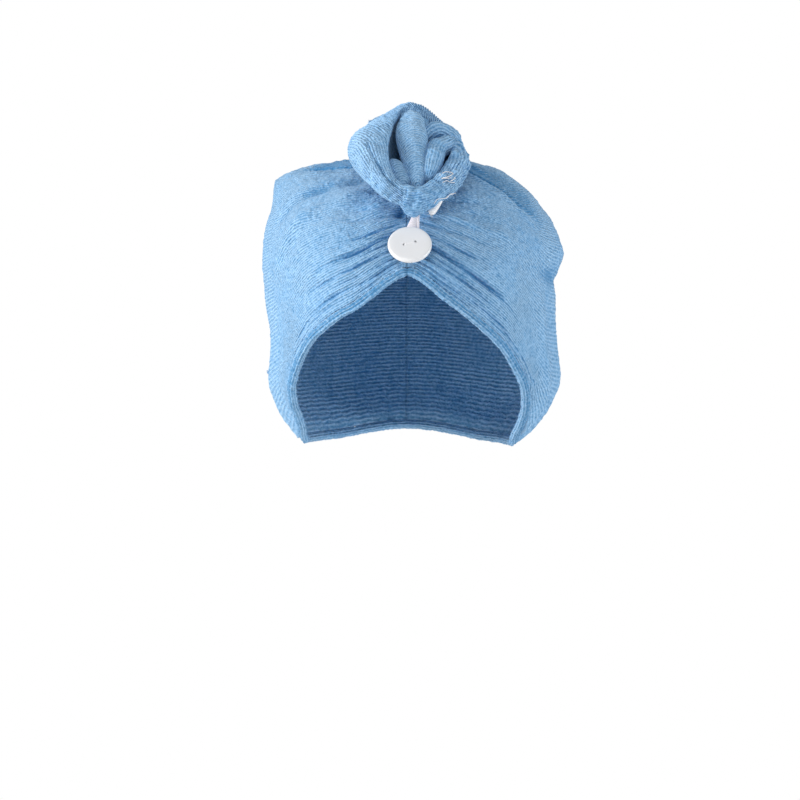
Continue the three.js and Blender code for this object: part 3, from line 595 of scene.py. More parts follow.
class Shell:
    """Points, faces and the rib coordinates of each corner, gathered into one mesh."""

    def __init__(self):
        self.points, self.faces, self.corners, self.hollows, self.count = [], [], [], [], 0

    def lattice(self, grid, u, v, hollow=0.0, wrap_rows=False, flip=False):
        """Adds a grid of points [row, column, xyz], whose columns close round. u, v: rib
        coordinates, one past each wrap. The next argument is painted shading: up to 1 where a
        point is painted darker, as painted shade in folds, and negative where it is painted paler."""
        rows, columns = grid.shape[:2]
        self.hollows.append(np.broadcast_to(hollow, (rows, columns)).ravel())
        r = np.arange(rows if wrap_rows else rows - 1)[:, None]
        r, c = np.broadcast_arrays(r, np.arange(columns))
        row = np.stack([r, r, r + 1, r + 1], -1).reshape(-1, 4)
        column = np.stack([c, c + 1, c + 1, c], -1).reshape(-1, 4)
        if flip:
            row, column = row[:, ::-1], column[:, ::-1]
        first = self.count
        self.faces += (first + row % rows * columns + column % columns).tolist()
        self.corners.append(np.stack([u[row, column], v[row, column]], -1).reshape(-1, 2))
        self.points.append(grid.reshape(-1, 3))
        self.count += rows * columns
        return first

    def cap(self, ring, tip, flip=False):
        """Closes a ring of point numbers onto one new point."""
        self.points.append(np.asarray(tip, float).reshape(1, 3))
        self.hollows.append(np.zeros(1))
        ring = np.asarray(ring)
        after = np.roll(ring, -1)
        triples = np.stack([ring, after, np.full_like(ring, self.count)], -1)
        self.faces += (triples[:, ::-1] if flip else triples).tolist()
        self.corners.append(np.zeros((3 * len(ring), 2)))
        self.count += 1

    def tube(self, grid, u, v, hollow=0.0):
        """Adds a closed tube of rings [station, around, xyz], with its ends closed."""
        around = grid.shape[1]
        first = self.lattice(grid, u, v, hollow)
        self.cap(first + np.arange(around), grid[0].mean(0), flip=True)
        self.cap(first + (len(grid) - 1) * around + np.arange(around), grid[-1].mean(0))

    def piece(self, name, material):
        """The finished object, with its faces turned outwards and shaded smooth."""
        points = np.concatenate(self.points)
        mesh = bpy.data.meshes.new(name)
        mesh.from_pydata(points.tolist(), [], self.faces)
        ribs = mesh.uv_layers.new(name="ribs")
        ribs.data.foreach_set("uv", np.concatenate(self.corners).astype(np.float32).ravel())
        # the painted light and shade of each point, which the towelling reads to darken or lighten its
        # colour
        depth = mesh.attributes.new("hollow", "FLOAT", "POINT")
        depth.data.foreach_set("value", np.concatenate(self.hollows).astype(np.float32))
        mesh.update()
        mesh.polygons.foreach_set("use_smooth", np.ones(len(mesh.polygons), bool))
        if volume_of(mesh) < 0:
            mesh.flip_normals()
        mesh.materials.append(material)
        made = bpy.data.objects.new(name, mesh)
        bpy.context.scene.collection.objects.link(made)
        return made


def volume_of(mesh):
    """The signed volume of a closed mesh."""
    mesh.calc_loop_triangles()
    corners = np.empty(3 * len(mesh.loop_triangles), np.int32)
    mesh.loop_triangles.foreach_get("vertices", corners)
    places = np.empty(3 * len(mesh.vertices), np.float32)
    mesh.vertices.foreach_get("co", places)
    a, b, c = places.reshape(-1, 3)[corners.reshape(-1, 3)].transpose(1, 0, 2).astype(float)
    return float((a * np.cross(b, c)).sum() / 6)


def settle(piece, nodes):
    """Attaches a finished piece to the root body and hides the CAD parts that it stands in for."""
    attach(piece, "root")
    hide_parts(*nodes)
    return piece


# The towelling and the other materials


def arithmetic(operation, swapped=False):
    """A method that adds a Math node for an arithmetic sign."""

    def method(self, other):
        return self.finish.math(operation, *((other, self) if swapped else (self, other)))

    return method


class Signal:
    """A number socket of a shader. Arithmetic on it adds Math nodes."""

    def __init__(self, finish, socket):
        self.finish, self.socket = finish, socket

    __add__ = arithmetic("ADD")
    __sub__ = arithmetic("SUBTRACT")
    __rsub__ = arithmetic("SUBTRACT", swapped=True)
    __mul__ = arithmetic("MULTIPLY")


class Finish:
    """A procedural material under construction."""

    def __init__(self, name):
        self.material = bpy.data.materials.new(name)
        self.material.use_nodes = True
        self.tree = self.material.node_tree
        self.tree.nodes.clear()
        self.surface = self.node("ShaderNodeBsdfPrincipled")
        output = self.node("ShaderNodeOutputMaterial")
        self.tree.links.new(self.surface.outputs["BSDF"], output.inputs["Surface"])

    def node(self, kind, settings=None, inputs=None):
        """A node of a kind. Its settings are set first, then its sockets."""
        made = self.tree.nodes.new(kind)
        for key, value in (settings or {}).items():
            setattr(made, key, value)
        for key, value in (inputs or {}).items():
            self.feed(made.inputs[key], value)
        return made

    def feed(self, socket, value):
        """Sets a socket's value, or links it."""
        if isinstance(value, Signal):
            value = value.socket
        if isinstance(value, bpy.types.NodeSocket):
            self.tree.links.new(value, socket)
        elif hasattr(value, "__len__"):
            socket.default_value = tuple(value)[:3] + (1,) * (len(socket.default_value) - 3)
        else:
            socket.default_value = value

    def math(self, operation, *values):
        made = self.node("ShaderNodeMath", {"operation": operation}, dict(enumerate(values)))
        return Signal(self, made.outputs[0])

    def sine(self, turns):
        """A wave from 0 to 1, once for each whole number."""
        return self.math("SINE", turns * (2 * math.pi)) * 0.5 + 0.5

    def noise(self, where, scale, detail=2.0, roughness=0.5):
        inputs = {"Vector": where, "Scale": scale, "Detail": detail, "Roughness": roughness}
        return Signal(self, self.node("ShaderNodeTexNoise", {}, inputs).outputs["Fac"])

    def cells(self, where, scale):
        made = self.node("ShaderNodeTexVoronoi", {}, {"Vector": where, "Scale": scale})
        return Signal(self, made.outputs["Distance"])

    def ramp(self, value, low, high):
        """0 below low, 1 above high, smooth between."""
        made = self.node(
            "ShaderNodeMapRange",
            {"interpolation_type": "SMOOTHSTEP", "clamp": True},
            {"Value": value, "From Min": low, "From Max": high},
        )
        return Signal(self, made.outputs["Result"])

    def mix(self, amount, low, high):
        """A colour between two colours."""
        made = self.node("ShaderNodeMix", {"data_type": "RGBA"}, {"Factor": amount})
        self.feed(made.inputs[6], low)
        self.feed(made.inputs[7], high)
        return made.outputs[2]

    def object_place(self):
        return self.node("ShaderNodeTexCoord").outputs["Object"]

    def parts(self, vector):
        """The first two numbers of a vector."""
        made = self.node("ShaderNodeSeparateXYZ", {}, {"Vector": vector})
        return Signal(self, made.outputs["X"]), Signal(self, made.outputs["Y"])

    def ribs(self):
        """The rib coordinates: along the ribs, and across them."""
        return self.parts(self.node("ShaderNodeUVMap", {"uv_map": "ribs"}).outputs["UV"])

    def raise_by(self, height, distance):
        """Raises the surface by a height from 0 to 1 times a distance."""
        bump = self.node("ShaderNodeBump", {}, {"Height": height, "Distance": distance})
        self.feed(self.surface.inputs["Normal"], bump.outputs["Normal"])

    def set(self, **values):
        for key, value in values.items():
            self.feed(self.surface.inputs[key.replace("_", " ")], value)
        return self


def darker(colour, share):
    """A share of a colour's light."""
    return tuple(share * c for c in colour)


def towelling(name, rib_depth=1.0, knots=1.0, seamed=False):
    """Looped pile in fine ribs. Its colour is painted darker between the ribs and loops, along the
    seam and in the folds, as painted shade, and paler where painted light lies. A seamed one
    has a sewn line over the middle."""
    finish = Finish(name)
    place = finish.object_place()
    along_rib, across_rib = finish.ribs()
    wander = finish.noise(place, 200, 3) * 0.55
    rib = finish.sine(across_rib + wander)
    loops = finish.cells(place, 620)
    fuzz = finish.noise(place, 1500, 3, 0.65)
    lumps = finish.noise(place, 330, 2)
    patches = finish.noise(place, 38, 3)
    presence = finish.ramp(patches, 0.3, 0.64) * 0.6 + 0.4
    rib_part = rib * presence * rib_depth
    height = rib_part * 0.5 + (1 - loops) * 0.42 * knots + fuzz * 0.25 + lumps * 0.5
    if seamed:
        beside = finish.math("ABSOLUTE", finish.parts(place)[0] + (lumps - 0.5) * 0.0006)
        open_cloth = finish.ramp(beside, 0.0, 0.0009)
        height = height + open_cloth * 0.6
    finish.raise_by(height, 0.0011)
    # the mesh's painted shading: up to 1 in folds, as painted shade, negative for painted light
    depth = Signal(finish, finish.node("ShaderNodeAttribute", {"attribute_name": "hollow"}).outputs["Fac"])
    stand = rib_part * 0.36 + (1 - loops) * 0.3 + lumps * 0.4 + fuzz * 0.2
    # the sewn line is painted darker, as painted shade in its groove
    if seamed:
        depth = finish.math("MAXIMUM", depth, (1 - open_cloth) * 0.4)
    # painted shade: the colour goes towards the groove colour where the pile stands low and where painted
    # shade lies
    light = finish.ramp(stand - depth * 0.42, 0.18, 0.84)
    tone = finish.mix(light, colours().groove, colours().pile)
    large = finish.noise(place, 22, 2)
    shade = finish.mix(finish.ramp(large, 0.3, 0.7) * 0.14, tone, darker(colours().pile, 0.7))
    # painted shade: darker still deep in the folds
    shade = finish.mix(finish.ramp(depth, 0.8, 1.0) * 0.85, shade, darker(colours().groove, 0.85))
    return finish.set(
        Base_Color=shade,
        Roughness=0.95,
        Sheen_Weight=0.35,
        Sheen_Roughness=0.5,
        Sheen_Tint=(0.62, 0.82, 1.0),
        Specular_IOR_Level=0.15,
    ).material


def button_plastic():
    """Satin white moulded plastic."""
    finish = Finish("button_plastic")
    place = finish.object_place()
    cloud = finish.noise(place, 160, 3)
    fine = finish.noise(place, 2600, 2)
    finish.raise_by(cloud * 0.6 + fine * 0.15, 0.00008)
    tone = finish.mix(cloud, darker(colours().button, 0.96), colours().button)
    gloss = finish.ramp(cloud, 0.1, 0.9) * 0.12 + 0.3
    return finish.set(Base_Color=tone, Roughness=gloss, Coat_Weight=0.15).material


def braided(name, pale, relief=0.00012):
    """White cotton-covered elastic, or thread, laid on the slant."""
    finish = Finish(name)
    place = finish.object_place()
    along_cord, around_cord = finish.ribs()
    one = finish.sine(along_cord + around_cord * 3)
    other = finish.sine(along_cord - around_cord * 3)
    strands = finish.math("MAXIMUM", one, other)
    fuzz = finish.noise(place, 2200, 3)
    finish.raise_by(strands * 0.8 + fuzz * 0.4, relief)
    # painted shade: darker between the strands
    tone = finish.mix(strands * 0.7 + fuzz * 0.3, darker(pale, 0.84), pale)
    return finish.set(Base_Color=tone, Roughness=0.85, Sheen_Weight=0.2, Specular_IOR_Level=0.2).material


def studio_paper(name):
    """Pale seamless paper."""
    finish = Finish(name)
    grain = finish.noise(finish.object_place(), 60, 3)
    tone = finish.mix(grain, darker(colours().floor, 0.985), colours().floor)
    return finish.set(Base_Color=tone, Roughness=0.9, Specular_IOR_Level=0.1).material


# The hood and its hem


HOOD_COLUMNS = 500
HOOD_ROWS = 150
HOOD_INNER_ROWS = 26
HOOD_RIBS = 118


def hood_lattice(rows):
    """The angles, the roots and the rises of rows of places from the hem to the crown."""
    size = sizes()
    angle, root, *_ = inward_of(edge_columns(HOOD_COLUMNS), size.hem_height + size.gap / 2)
    q = shares_round(rows)
    rises = q * (0.6 + 0.4 * q)
    return repeat_rows(angle, rows), root[None, :] * (1 - rises[:, None]), rises


def hood_ribs(grid, rises):
    """Rib coordinates of the hood's rows: along each row, and rib by rib up the rows."""
    steps = np.linalg.norm(np.diff(grid, axis=1, append=grid[:, :1]), axis=2)
    lengths = np.concatenate([np.zeros((len(grid), 1)), np.cumsum(steps, 1)], 1)
    u = (lengths - lengths[:, lengths.shape[1] // 2][:, None]) / sizes().rib
    return u, spread(rises * HOOD_RIBS, grid.shape[1] + 1)


def knobs(points, depth):
    """Small uneven knobs of looped pile, which show on the outline."""
    return depth * (0.6 * soft_noise(points, 0.0042, 8, 14) + 0.4 * soft_noise(points, 0.0027, 9, 14))


def outer_hood():
    """The outer face with its knobs, which other pieces lie on, and the painted light and shade of its
    places.
    """
    angle, root, rises = hood_lattice(HOOD_ROWS)
    grid = cloth_point(angle, root)
    grid = grid + hood_normal(angle, root) * knobs(grid, 0.34 * MM)[..., None]
    return grid, rises, painted_hood_shading(angle, root)


def hood_tree(grid):
    """The outer face as a search tree."""
    rows, columns = grid.shape[:2]
    r, c = np.arange(rows - 1)[:, None] * columns, np.arange(columns)[None, :]
    after = (c + 1) % columns
    quads = np.stack([r + c, r + after, r + columns + after, r + columns + c], -1)
    points = np.concatenate([grid.reshape(-1, 3), [[0, 0, sizes().hood_wall]]])
    top = (rows - 1) * columns + c[0]
    crown = np.stack([top, (rows - 1) * columns + after[0], np.full(columns, len(points) - 1)], -1)
    return BVHTree.FromPolygons(points.tolist(), quads.reshape(-1, 4).tolist() + crown.tolist())


class TURBAN_OT_hood(bpy.types.Operator):
    """Makes the gathered hood, a shell with an outer and an inner face, open at the face and the nape"""

    bl_idname = "turban.hood"
    bl_label = "Hood"

    def execute(self, context):
        size = sizes()
        outer, rises, depth = outer_hood()
        angle, root, inner_rises = hood_lattice(HOOD_INNER_ROWS)
        inner = cloth_point(angle, root, size.hood_wall, 0.55)
        shell = Shell()
        ring = np.arange(HOOD_COLUMNS)
        # the outer face is painted darker in its folds and paler or darker in spots, as painted light and
        # shade
        first = shell.lattice(outer, *hood_ribs(outer, rises), depth)
        shell.cap(first + (HOOD_ROWS - 1) * HOOD_COLUMNS + ring, (0, 0, size.hood_wall))
        # the inside face is painted a little darker all over, as painted shade
        second = shell.lattice(inner, *hood_ribs(inner, inner_rises), 0.25, flip=True)
        shell.cap(second + (HOOD_INNER_ROWS - 1) * HOOD_COLUMNS + ring, (0, 0, 0), flip=True)
        # the edge that joins the two faces behind the hem
        after = np.roll(ring, -1)
        shell.faces += np.stack([first + after, first + ring, second + ring, second + after], -1).tolist()
        shell.corners.append(np.zeros((4 * HOOD_COLUMNS, 2)))
        tuft(shell, outer.reshape(-1, 3), 267, 372)
        piece = shell.piece("towel_hood", towelling("hood_towelling", seamed=True))
        settle(piece, ("hood_left", "hood_right"))
        return {"FINISHED"}


HEM_COLUMNS = 900
HEM_SIDES = 26


class TURBAN_OT_hem(bpy.types.Operator):
    """Makes the rolled and overlocked hem round the opening"""

    bl_idname = "turban.hem"
    bl_label = "Hem"

    def execute(self, context):
        size = sizes()
        angles = edge_columns(HEM_COLUMNS)
        _, _, here, inward, normal = inward_of(angles, size.hem_height / 2)
        middle = here + inward * size.hem_height / 2 - normal * size.hood_wall / 2
        lengths = run_lengths(here)
        turn = 2 * math.pi * np.arange(HEM_SIDES) / HEM_SIDES
        c, s = np.cos(turn)[None, :], np.sin(turn)[None, :]
        soft = 1 / np.maximum(np.abs(c), np.abs(s)) ** 0.5
        grooves = bell(c * soft - 0.34, 0.19) + bell(c * soft + 0.28, 0.19)
        run = lengths[:, None]
        stitch = np.cos(2 * math.pi * run / (2.4 * MM) + 1.2 * np.sin(run / 0.004))
        seam = bell(np.degrees(angles)[:, None], 0.55)
        swell = 1 + 0.06 * (s > 0) - 0.3 * grooves * (s > 0) + 0.06 * stitch * (1 - grooves) - 0.22 * seam
        height, thickness = size.hem_height / 2, size.hem_thickness / 2
        grid = sections(middle, inward, normal, c * soft * swell * height, s * soft * swell * thickness)
        outward = unit(grid - middle[:, None])
        grid = grid + outward * (knobs(grid, 0.26 * MM) - 0.05 * MM)[..., None]
        u = spread(np.append(lengths, lengths[-1] + lengths[1]) / size.rib, HEM_SIDES + 1)
        v = repeat_rows(shares_round(HEM_SIDES, 1) * 9, HEM_COLUMNS + 1)
        shell = Shell()
        # painted shade: the hem is painted a little darker all over, darker in its two outer grooves in
        # dashes along them, and darker at the seam
        dashes = 0.65 + 0.35 * np.cos(2 * math.pi * run / (3.1 * MM))
        shell.lattice(grid, u, v, 0.08 + grooves * (s > 0) * dashes + 0.6 * seam, wrap_rows=True)
        piece = shell.piece("rolled_hem", towelling("hem_towelling", 1.1, 1.1))
        settle(piece, ("face_hem",))
        return {"FINISHED"}


# The tail: its knot and the twist over the crown


def tail_place(rows):
    """The places of a table's rows on the tail, whose foot stands off the hood's front."""
    size = sizes()
    root = math.sqrt((size.tail_foot + size.hood_wall) / size.hood_height)
    foot = hood_form(np.array([0.0]), np.array([root]))[0, 1] - size.tail_stand
    x = rows["across"] * size.tail_width
    y = foot + (BROWS["reach"][0] - rows["reach"]) * size.tail_reach
    z = rows["rise"] * size.tail_rise - size.tail_foot
    return np.stack([x, y, z], -1)


def head_centre():
    size = sizes()
    return np.array([0, -0.1 * size.hood_depth, -0.32 * size.hood_height])


RIM_STATIONS = 780
RIM_SIDES = 80
RIM_FINE = 24
# Shares of a section's points between its corners, from the mouth over the lip and the brow.
RIM_SPANS = (0.05, 0.12, 0.16, 0.18, 0.18, 0.13, 0.06, 0.09, 0.03)

# How the rim's ribs run. station: share of the way round, from the bottom, clockwise. over: 1 where
# they run along the rim, 0 where they cross it. rough: how knobbly it is. groove: how deep the
# crease is between the lip's roll and the flank, in millimetres; the crease is also painted darker,
# as painted shade. pale: how much paler the flank is painted, as painted light, negative where it
# is painted darker, as painted shade.
RIM_RIBS = table(
    "station over rough groove pale",
    (0, 1, 1.0, 0.3, -0.05),
    (0.05, 1, 0.9, 1.0, 0.05),
    (0.12, 1, 0.4, 1.3, 0.3),
    (0.2, 0.9, 0.15, 0.6, 0.42),
    (0.28, 0.6, 0.1, 0.1, 0.45),
    (0.36, 0.35, 0.05, 0, 0.3),
    (0.43, 0.06, 0.05, 0, 0.05),
    (0.5, 0, 0.05, 0, -0.1),
    (0.62, 0.03, 0.2, 0, -0.15),
    (0.72, 0.5, 0.8, 0, -0.05),
    (0.82, 0.85, 1.1, 0, 0.15),
    (0.92, 1, 1.2, 0.1, 0.05),
    (1, 1, 1.0, 0.3, -0.05),
)


def knot_rim(shell):
    """The rim: a roll that rises from the mouth to its lip, turns over to its brow and goes back
    to the twist."""
    size = sizes()
    lips = smooth_curve(tail_place(LIPS), RIM_STATIONS, closed=True)
    brow_rows = np.concatenate([tail_place(BROWS), BROWS["bulge"][:, None]], 1)
    brows = smooth_curve(brow_rows, RIM_STATIONS, closed=True)
    bulge = brows[:, 3:] * np.linalg.norm(lips - brows[:, :3], axis=1, keepdims=True)
    brows = brows[:, :3]
    mouth = tail_place(LIPS).mean(0)
    centre = head_centre()
    swell = unit(unit((lips + brows) / 2 - centre) + 0.35 * unit(brows - mouth))
    inside = lips + (centre - lips) * 0.5
    inside = inside + (mouth - inside) * 0.1
    # behind the brow the roll goes back to the hood and narrows towards the twist
    back, inward = np.array([0, 1.0, 0]), (brows.mean(0) - brows) * [1, 0, 1]
    tuck = brows + back * 7 * MM + inward * 0.05
    under = brows + back * 24 * MM + inward * 0.4
    throat = lips + (inside - lips) * 0.22
    throat = throat + (brows - throat) * 0.06
    shoulder = lips + (brows - lips) * 0.22 + swell * 0.75 * bulge
    crest = lips + (brows - lips) * 0.55 + swell * bulge
    flank = lips + (brows - lips) * 0.86 + swell * 0.55 * bulge
    rings = np.stack([inside, throat, lips, shoulder, crest, flank, brows, tuck, under], 1)
    knots = np.concatenate([[0], np.cumsum(RIM_SPANS)]) / sum(RIM_SPANS)
    share = shares_round(RIM_SIDES)
    # more of the section's points go where it shows, from the throat to the brow
    count = RIM_FINE * len(RIM_SPANS)
    grid = np.empty((RIM_STATIONS, RIM_SIDES, 3))
    for i, ring in enumerate(rings):
        fine = smooth_curve(ring, count, closed=True)
        marks = [np.linalg.norm(fine - corner, axis=1).argmin() for corner in ring[1:]]
        at = np.interp(share, knots, np.maximum.accumulate([0, *marks, count]))
        for k in range(3):
            grid[i, :, k] = np.interp(at, np.arange(count + 1), np.append(fine[:, k], fine[0, k]))
    station = shares_round(RIM_STATIONS, 1)
    over, rough, groove, pale = (along(RIM_RIBS, "station", key, station) for key in list(RIM_RIBS)[1:])
    # the crease under the lip's roll, and small folds that run along the rim
    away = unit(grid - (lips + (centre - lips) * 0.25)[:, None])
    crease = bell(share - 0.4, 0.028)[None, :] * groove[:-1, None] * MM
    small = np.cos(2 * math.pi * share * 21) * window(share, 0.3, 0.36, 0.7, 0.78)
    small = small[None, :] * (0.28 * MM * over[:-1, None])
    grid = grid + away * (small - crease)[..., None]
    # rib coordinates, which swing round where the ribs turn from along the rim to across it
    across = np.stack([run_lengths(ring) for ring in grid])
    across = np.concatenate([across, 2 * across[:, -1:] - across[:, -2:-1]], 1)
    across = np.concatenate([across, across[:1]])
    length = run_lengths(np.concatenate([brows, brows[:1]]))
    swept = np.concatenate([[0], np.cumsum((1 - over[:-1]) * np.diff(length))])
    total = round(swept[-1] / size.rib)
    from_lip = across - across[:, [int(knots[2] * RIM_SIDES)]]
    v = (swept / swept[-1] * total)[:, None] - from_lip * over[:, None] / size.rib
    u = (length[:, None] * over[:, None] + across * (1 - over[:, None])) / size.rib
    ribs = np.cos(2 * math.pi * v[:-1, :-1]) * (0.12 + 0.3 * (1 - over[:-1, None])) * MM
    lumps = (knobs(grid * 0.8, 0.85 * MM) + 0.5 * MM * soft_noise(grid, 0.008, 31)) * rough[:-1, None]
    grid = grid + away * (ribs + lumps)[..., None]
    # painted shade: darker into the mouth, behind the brow and in the crease under the lip; the flank
    # painted paler by pale, as painted light
    deep = np.clip(1 - share / 0.15, 0, 1) + 0.5 * smooth_step(share, 0.84, 0.94)
    hollow = np.clip(deep[None, :] + bell(share - 0.4, 0.03)[None, :] * 0.5 * groove[:-1, None], 0, 1)
    hollow = hollow - pale[:-1, None] * bell(share - 0.5, 0.2)[None, :]
    shell.lattice(grid, u, v, hollow, wrap_rows=True)


FOLD_STATIONS = 90
FOLD_SIDES = 48


def tail_fold(shell, rows, cross_ribs=False, lean=0.0):
    """A fold along its ridge, wider than deep. lean: how far its flank stands to one side."""
    size = sizes()
    line = np.concatenate([tail_place(rows), rows["wide"][:, None], rows["deep"][:, None]], 1)
    path = smooth_curve(line, FOLD_STATIONS)
    centre, wide, deep = path[:, :3], path[:, 3] * size.tail_width, path[:, 4] * size.tail_width
    heading = unit(np.gradient(centre, axis=0))
    out = unit(centre - head_centre())
    side = unit(np.cross(heading, out))
    out = unit(np.cross(side, heading))
    turn = 2 * math.pi * shares_round(FOLD_SIDES)
    c, s = np.cos(turn)[None, :], np.sin(turn)[None, :]
    # the section, closed with a dome at either end
    ends = np.linspace(-1, 1, FOLD_STATIONS)
    dome = np.sqrt(np.clip(1 - np.maximum(np.abs(ends) * 1.06 - 0.06, 0) ** 6, 0.02, 1))
    wide_now, deep_now = (wide * dome)[:, None], (deep * dome)[:, None]
    grid = sections(centre, side, out, wide_now * c, deep_now * s + lean * wide_now * c * s)
    shares = shares_round(FOLD_SIDES, 1)
    lengthwise = spread(run_lengths(centre) / size.rib, FOLD_SIDES + 1)
    round_it = repeat_rows(shares * (2 * math.pi * wide.mean() / size.rib), FOLD_STATIONS)
    # painted shade: the fold's underside, turned towards the head, is painted darker
    hollow = repeat_rows(smooth_step(-np.sin(turn), -0.15, 0.75), FOLD_STATIONS)
    if cross_ribs:
        bow = -0.9 * np.cos(4 * math.pi * shares)[None, :]
        shell.tube(grid, round_it, lengthwise + bow, hollow)
    else:
        shell.tube(grid, lengthwise, round_it, hollow)


TWIST_STATIONS = 230
TWIST_SIDES = 92


def twisted_roll(shell):
    """The twisted stretch, lobed in section, with grooves that wind along it."""
    size = sizes()
    rows = dict(TWIST, station=np.arange(len(TWIST["back"]), dtype=float))
    y, z = rows["back"] * size.hood_depth / 2, -rows["sink"] * size.hood_height
    path = smooth_curve(np.stack([0 * y, y, z, rows["station"]], -1), TWIST_STATIONS)
    centre, station = path[:, :3], path[:, 3]
    side = np.tile([1.0, 0, 0], (TWIST_STATIONS, 1))
    up = unit(np.cross(side, np.gradient(centre, axis=0)))
    wide, tall, turned = (along(rows, "station", key, station)[:, None] for key in ("wide", "tall", "turn"))
    wide, tall, turned = wide * size.tail_width, tall * size.tail_rise, np.radians(turned)
    turn = 2 * math.pi * shares_round(TWIST_SIDES)[None, :]
    lobe = 1 - 0.2 * (1 - np.abs(np.cos(TWIST_LOBES * (turn - turned) / 2))) ** 1.6
    minor = 1 - 0.035 * np.abs(np.sin(4.5 * (turn - turned) + 0.7)) ** 0.6
    close = np.linspace(0, 1, TWIST_STATIONS)[:, None]
    radius = lobe * minor * np.sqrt(np.clip(1 - smooth_step(close, 0.86, 1.0) ** 2, 0.01, 1))
    grid = sections(centre, side, up, wide * radius * np.cos(turn), tall * radius * np.sin(turn))
    v = (shares_round(TWIST_SIDES, 1)[None, :] - turned / (2 * math.pi)) * TWIST_RIBS
    u = spread(run_lengths(centre) / size.rib, TWIST_SIDES + 1)
    # painted shade: the grooves between the lobes are painted darker
    shell.tube(grid, u, v, np.clip((1 - lobe) * 4, 0, 1))


def lift_off(points, tree, gap):
    """Brings every point that lies under the hood's face up to it, along a line from the head."""
    centre = Vector(head_centre())
    places = points.copy()
    for i, point in enumerate(points):
        ray = Vector(point) - centre
        reach = ray.length
        hit = tree.ray_cast(centre, ray / reach, 0.3)
        if hit[3] is not None and reach < hit[3] + gap:
            places[i] = centre + ray / reach * (hit[3] + gap)
    return places


class TURBAN_OT_tail(bpy.types.Operator):
    """Makes the tail, twisted over the crown and rolled into the knot"""

    bl_idname = "turban.tail"
    bl_label = "Tail"

    def execute(self, context):
        size = sizes()
        shell = Shell()
        knot_rim(shell)
        tail_fold(shell, TONGUE, cross_ribs=True, lean=-0.25)
        for rows in (UPPER_TUCK, LOWER_TUCK):
            tail_fold(shell, rows)
        tail_fold(shell, FLOOR_TUCK, cross_ribs=True)
        twisted_roll(shell)
        points = np.concatenate(shell.points)
        outward = unit(points - head_centre())
        lumps = soft_noise(points, 0.016, 21)[:, None] * 0.7 * MM + knobs(points, 0.3 * MM)[:, None]
        points = points + outward * lumps
        points = lift_off(points, hood_tree(outer_hood()[0]), size.gap)
        shell.points = [points]
        tuft(shell, points, 370, 122)
        piece = shell.piece("towel_tail", towelling("tail_towelling"))
        settle(piece, ("tail",))
        return {"FINISHED"}


BUTTON_DIAMETER = 25 * MM
BUTTON_THICKNESS = 3.2 * MM
BUTTON_TILT = math.radians(36)
HOLE_SPACING = 6.7 * MM
HOLE_TURN = math.radians(18)
HOLE_RADIUS = 0.82 * MM

# One strand of the button's thread, from the cloth through one hole, over the face and back.
# across: share of the way from the middle to a hole. beside: share of the strand's step aside. out:
# millimetres out of the button's middle. over: 1 where the middle strand lies on the others.
STRAND = table(
    "across beside out over",
    (0.1, 0.8, -8.5, 0),
    (-0.25, 1, -3.5, 0),
    (-0.95, 1, -2.0, 0),
    (-1.02, 1, 0, 0),
    (-0.96, 1, 1.1, 0),
    (-0.6, 1, 1.45, 1),
    (0, 0.6, 1.5, 1),
    (0.6, 1, 1.45, 1),
    (0.96, 1, 1.1, 0),
    (1.02, 1, 0, 0),
    (0.95, 1, -2.0, 0),
    (0.25, 1, -3.5, 0),
    (-0.1, 0.8, -8.5, 0),
)

# The elastic loop in the button's own frame, from the knot's foot on the left, round the shank and
# back. up: above the button's middle; the rows marked foot count from the knot's foot. out: in
# front of the loop's place behind the button. All in millimetres.
LOOP = table(
    "foot across up out wide thick",
    (1, 3.2, 6.0, 9.5, 3.0, 1.6),
    (1, 2.6, 3.0, 7.5, 3.6, 1.6),
    (1, 0.9, -0.4, 3.6, 4.8, 1.5),
    (0, -0.9, 10.6, 1.0, 5.4, 1.5),
    (0, -2.6, 6.0, 0.0, 3.4, 1.6),
    (0, -3.2, 1.0, 0.0, 2.2, 1.7),
    (0, -1.7, -2.9, 0.0, 2.1, 1.7),
    (0, 1.7, -2.9, 0.0, 2.1, 1.7),
    (0, 3.4, 1.0, 0.0, 2.0, 1.7),
    (0, 4.4, 6.0, 0.0, 1.8, 1.6),
    (0, 4.8, 10.6, 0.8, 1.8, 1.5),
    (1, 4.6, -0.4, 3.2, 1.9, 1.5),
    (1, 4.6, 3.0, 7.5, 2.0, 1.5),
    (1, 4.6, 6.0, 9.5, 2.0, 1.5),
)

# Where the loose end comes out of the knot. The columns are as in the knot's tables.
STUB_FOOT = table("across rise reach", (0.255, 0.15, 0.84))

# How far the loop lies behind the button's middle, in millimetres.
LOOP_BEHIND = 4.5

# Loose sewing threads on the knot: the radius of each in millimetres, and its line by places in the
# photograph's 800 x 800 frame.
LOOSE_THREADS = (
    (
        0.25,
        ((440, 175.5), (446, 173), (453, 174), (448, 176.5))
        + ((442, 178.5), (448, 179), (455, 178.5), (450, 181.5)),
    ),
    (0.2, ((443, 183), (446, 181.5), (450, 182.5), (454, 181.5))),
    (0.18, ((434, 203), (437, 200), (441, 199), (446, 197), (450, 194), (455, 192))),
    (0.18, ((445, 198), (449, 195), (453, 194))),
)


def button_frame():
    """The button's own frame: X across, Y up its face, Z out of it."""
    low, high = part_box("button")
    middle = (Vector(low) + Vector(high)) / 2
    return Matrix.Translation(middle) @ Matrix.Rotation(math.radians(90) - BUTTON_TILT, 4, "X")


def on_button(points):
    """Points of the button's own frame, placed in the part."""
    place = np.array(button_frame())
    return points @ place[:3, :3].T + place[:3, 3]


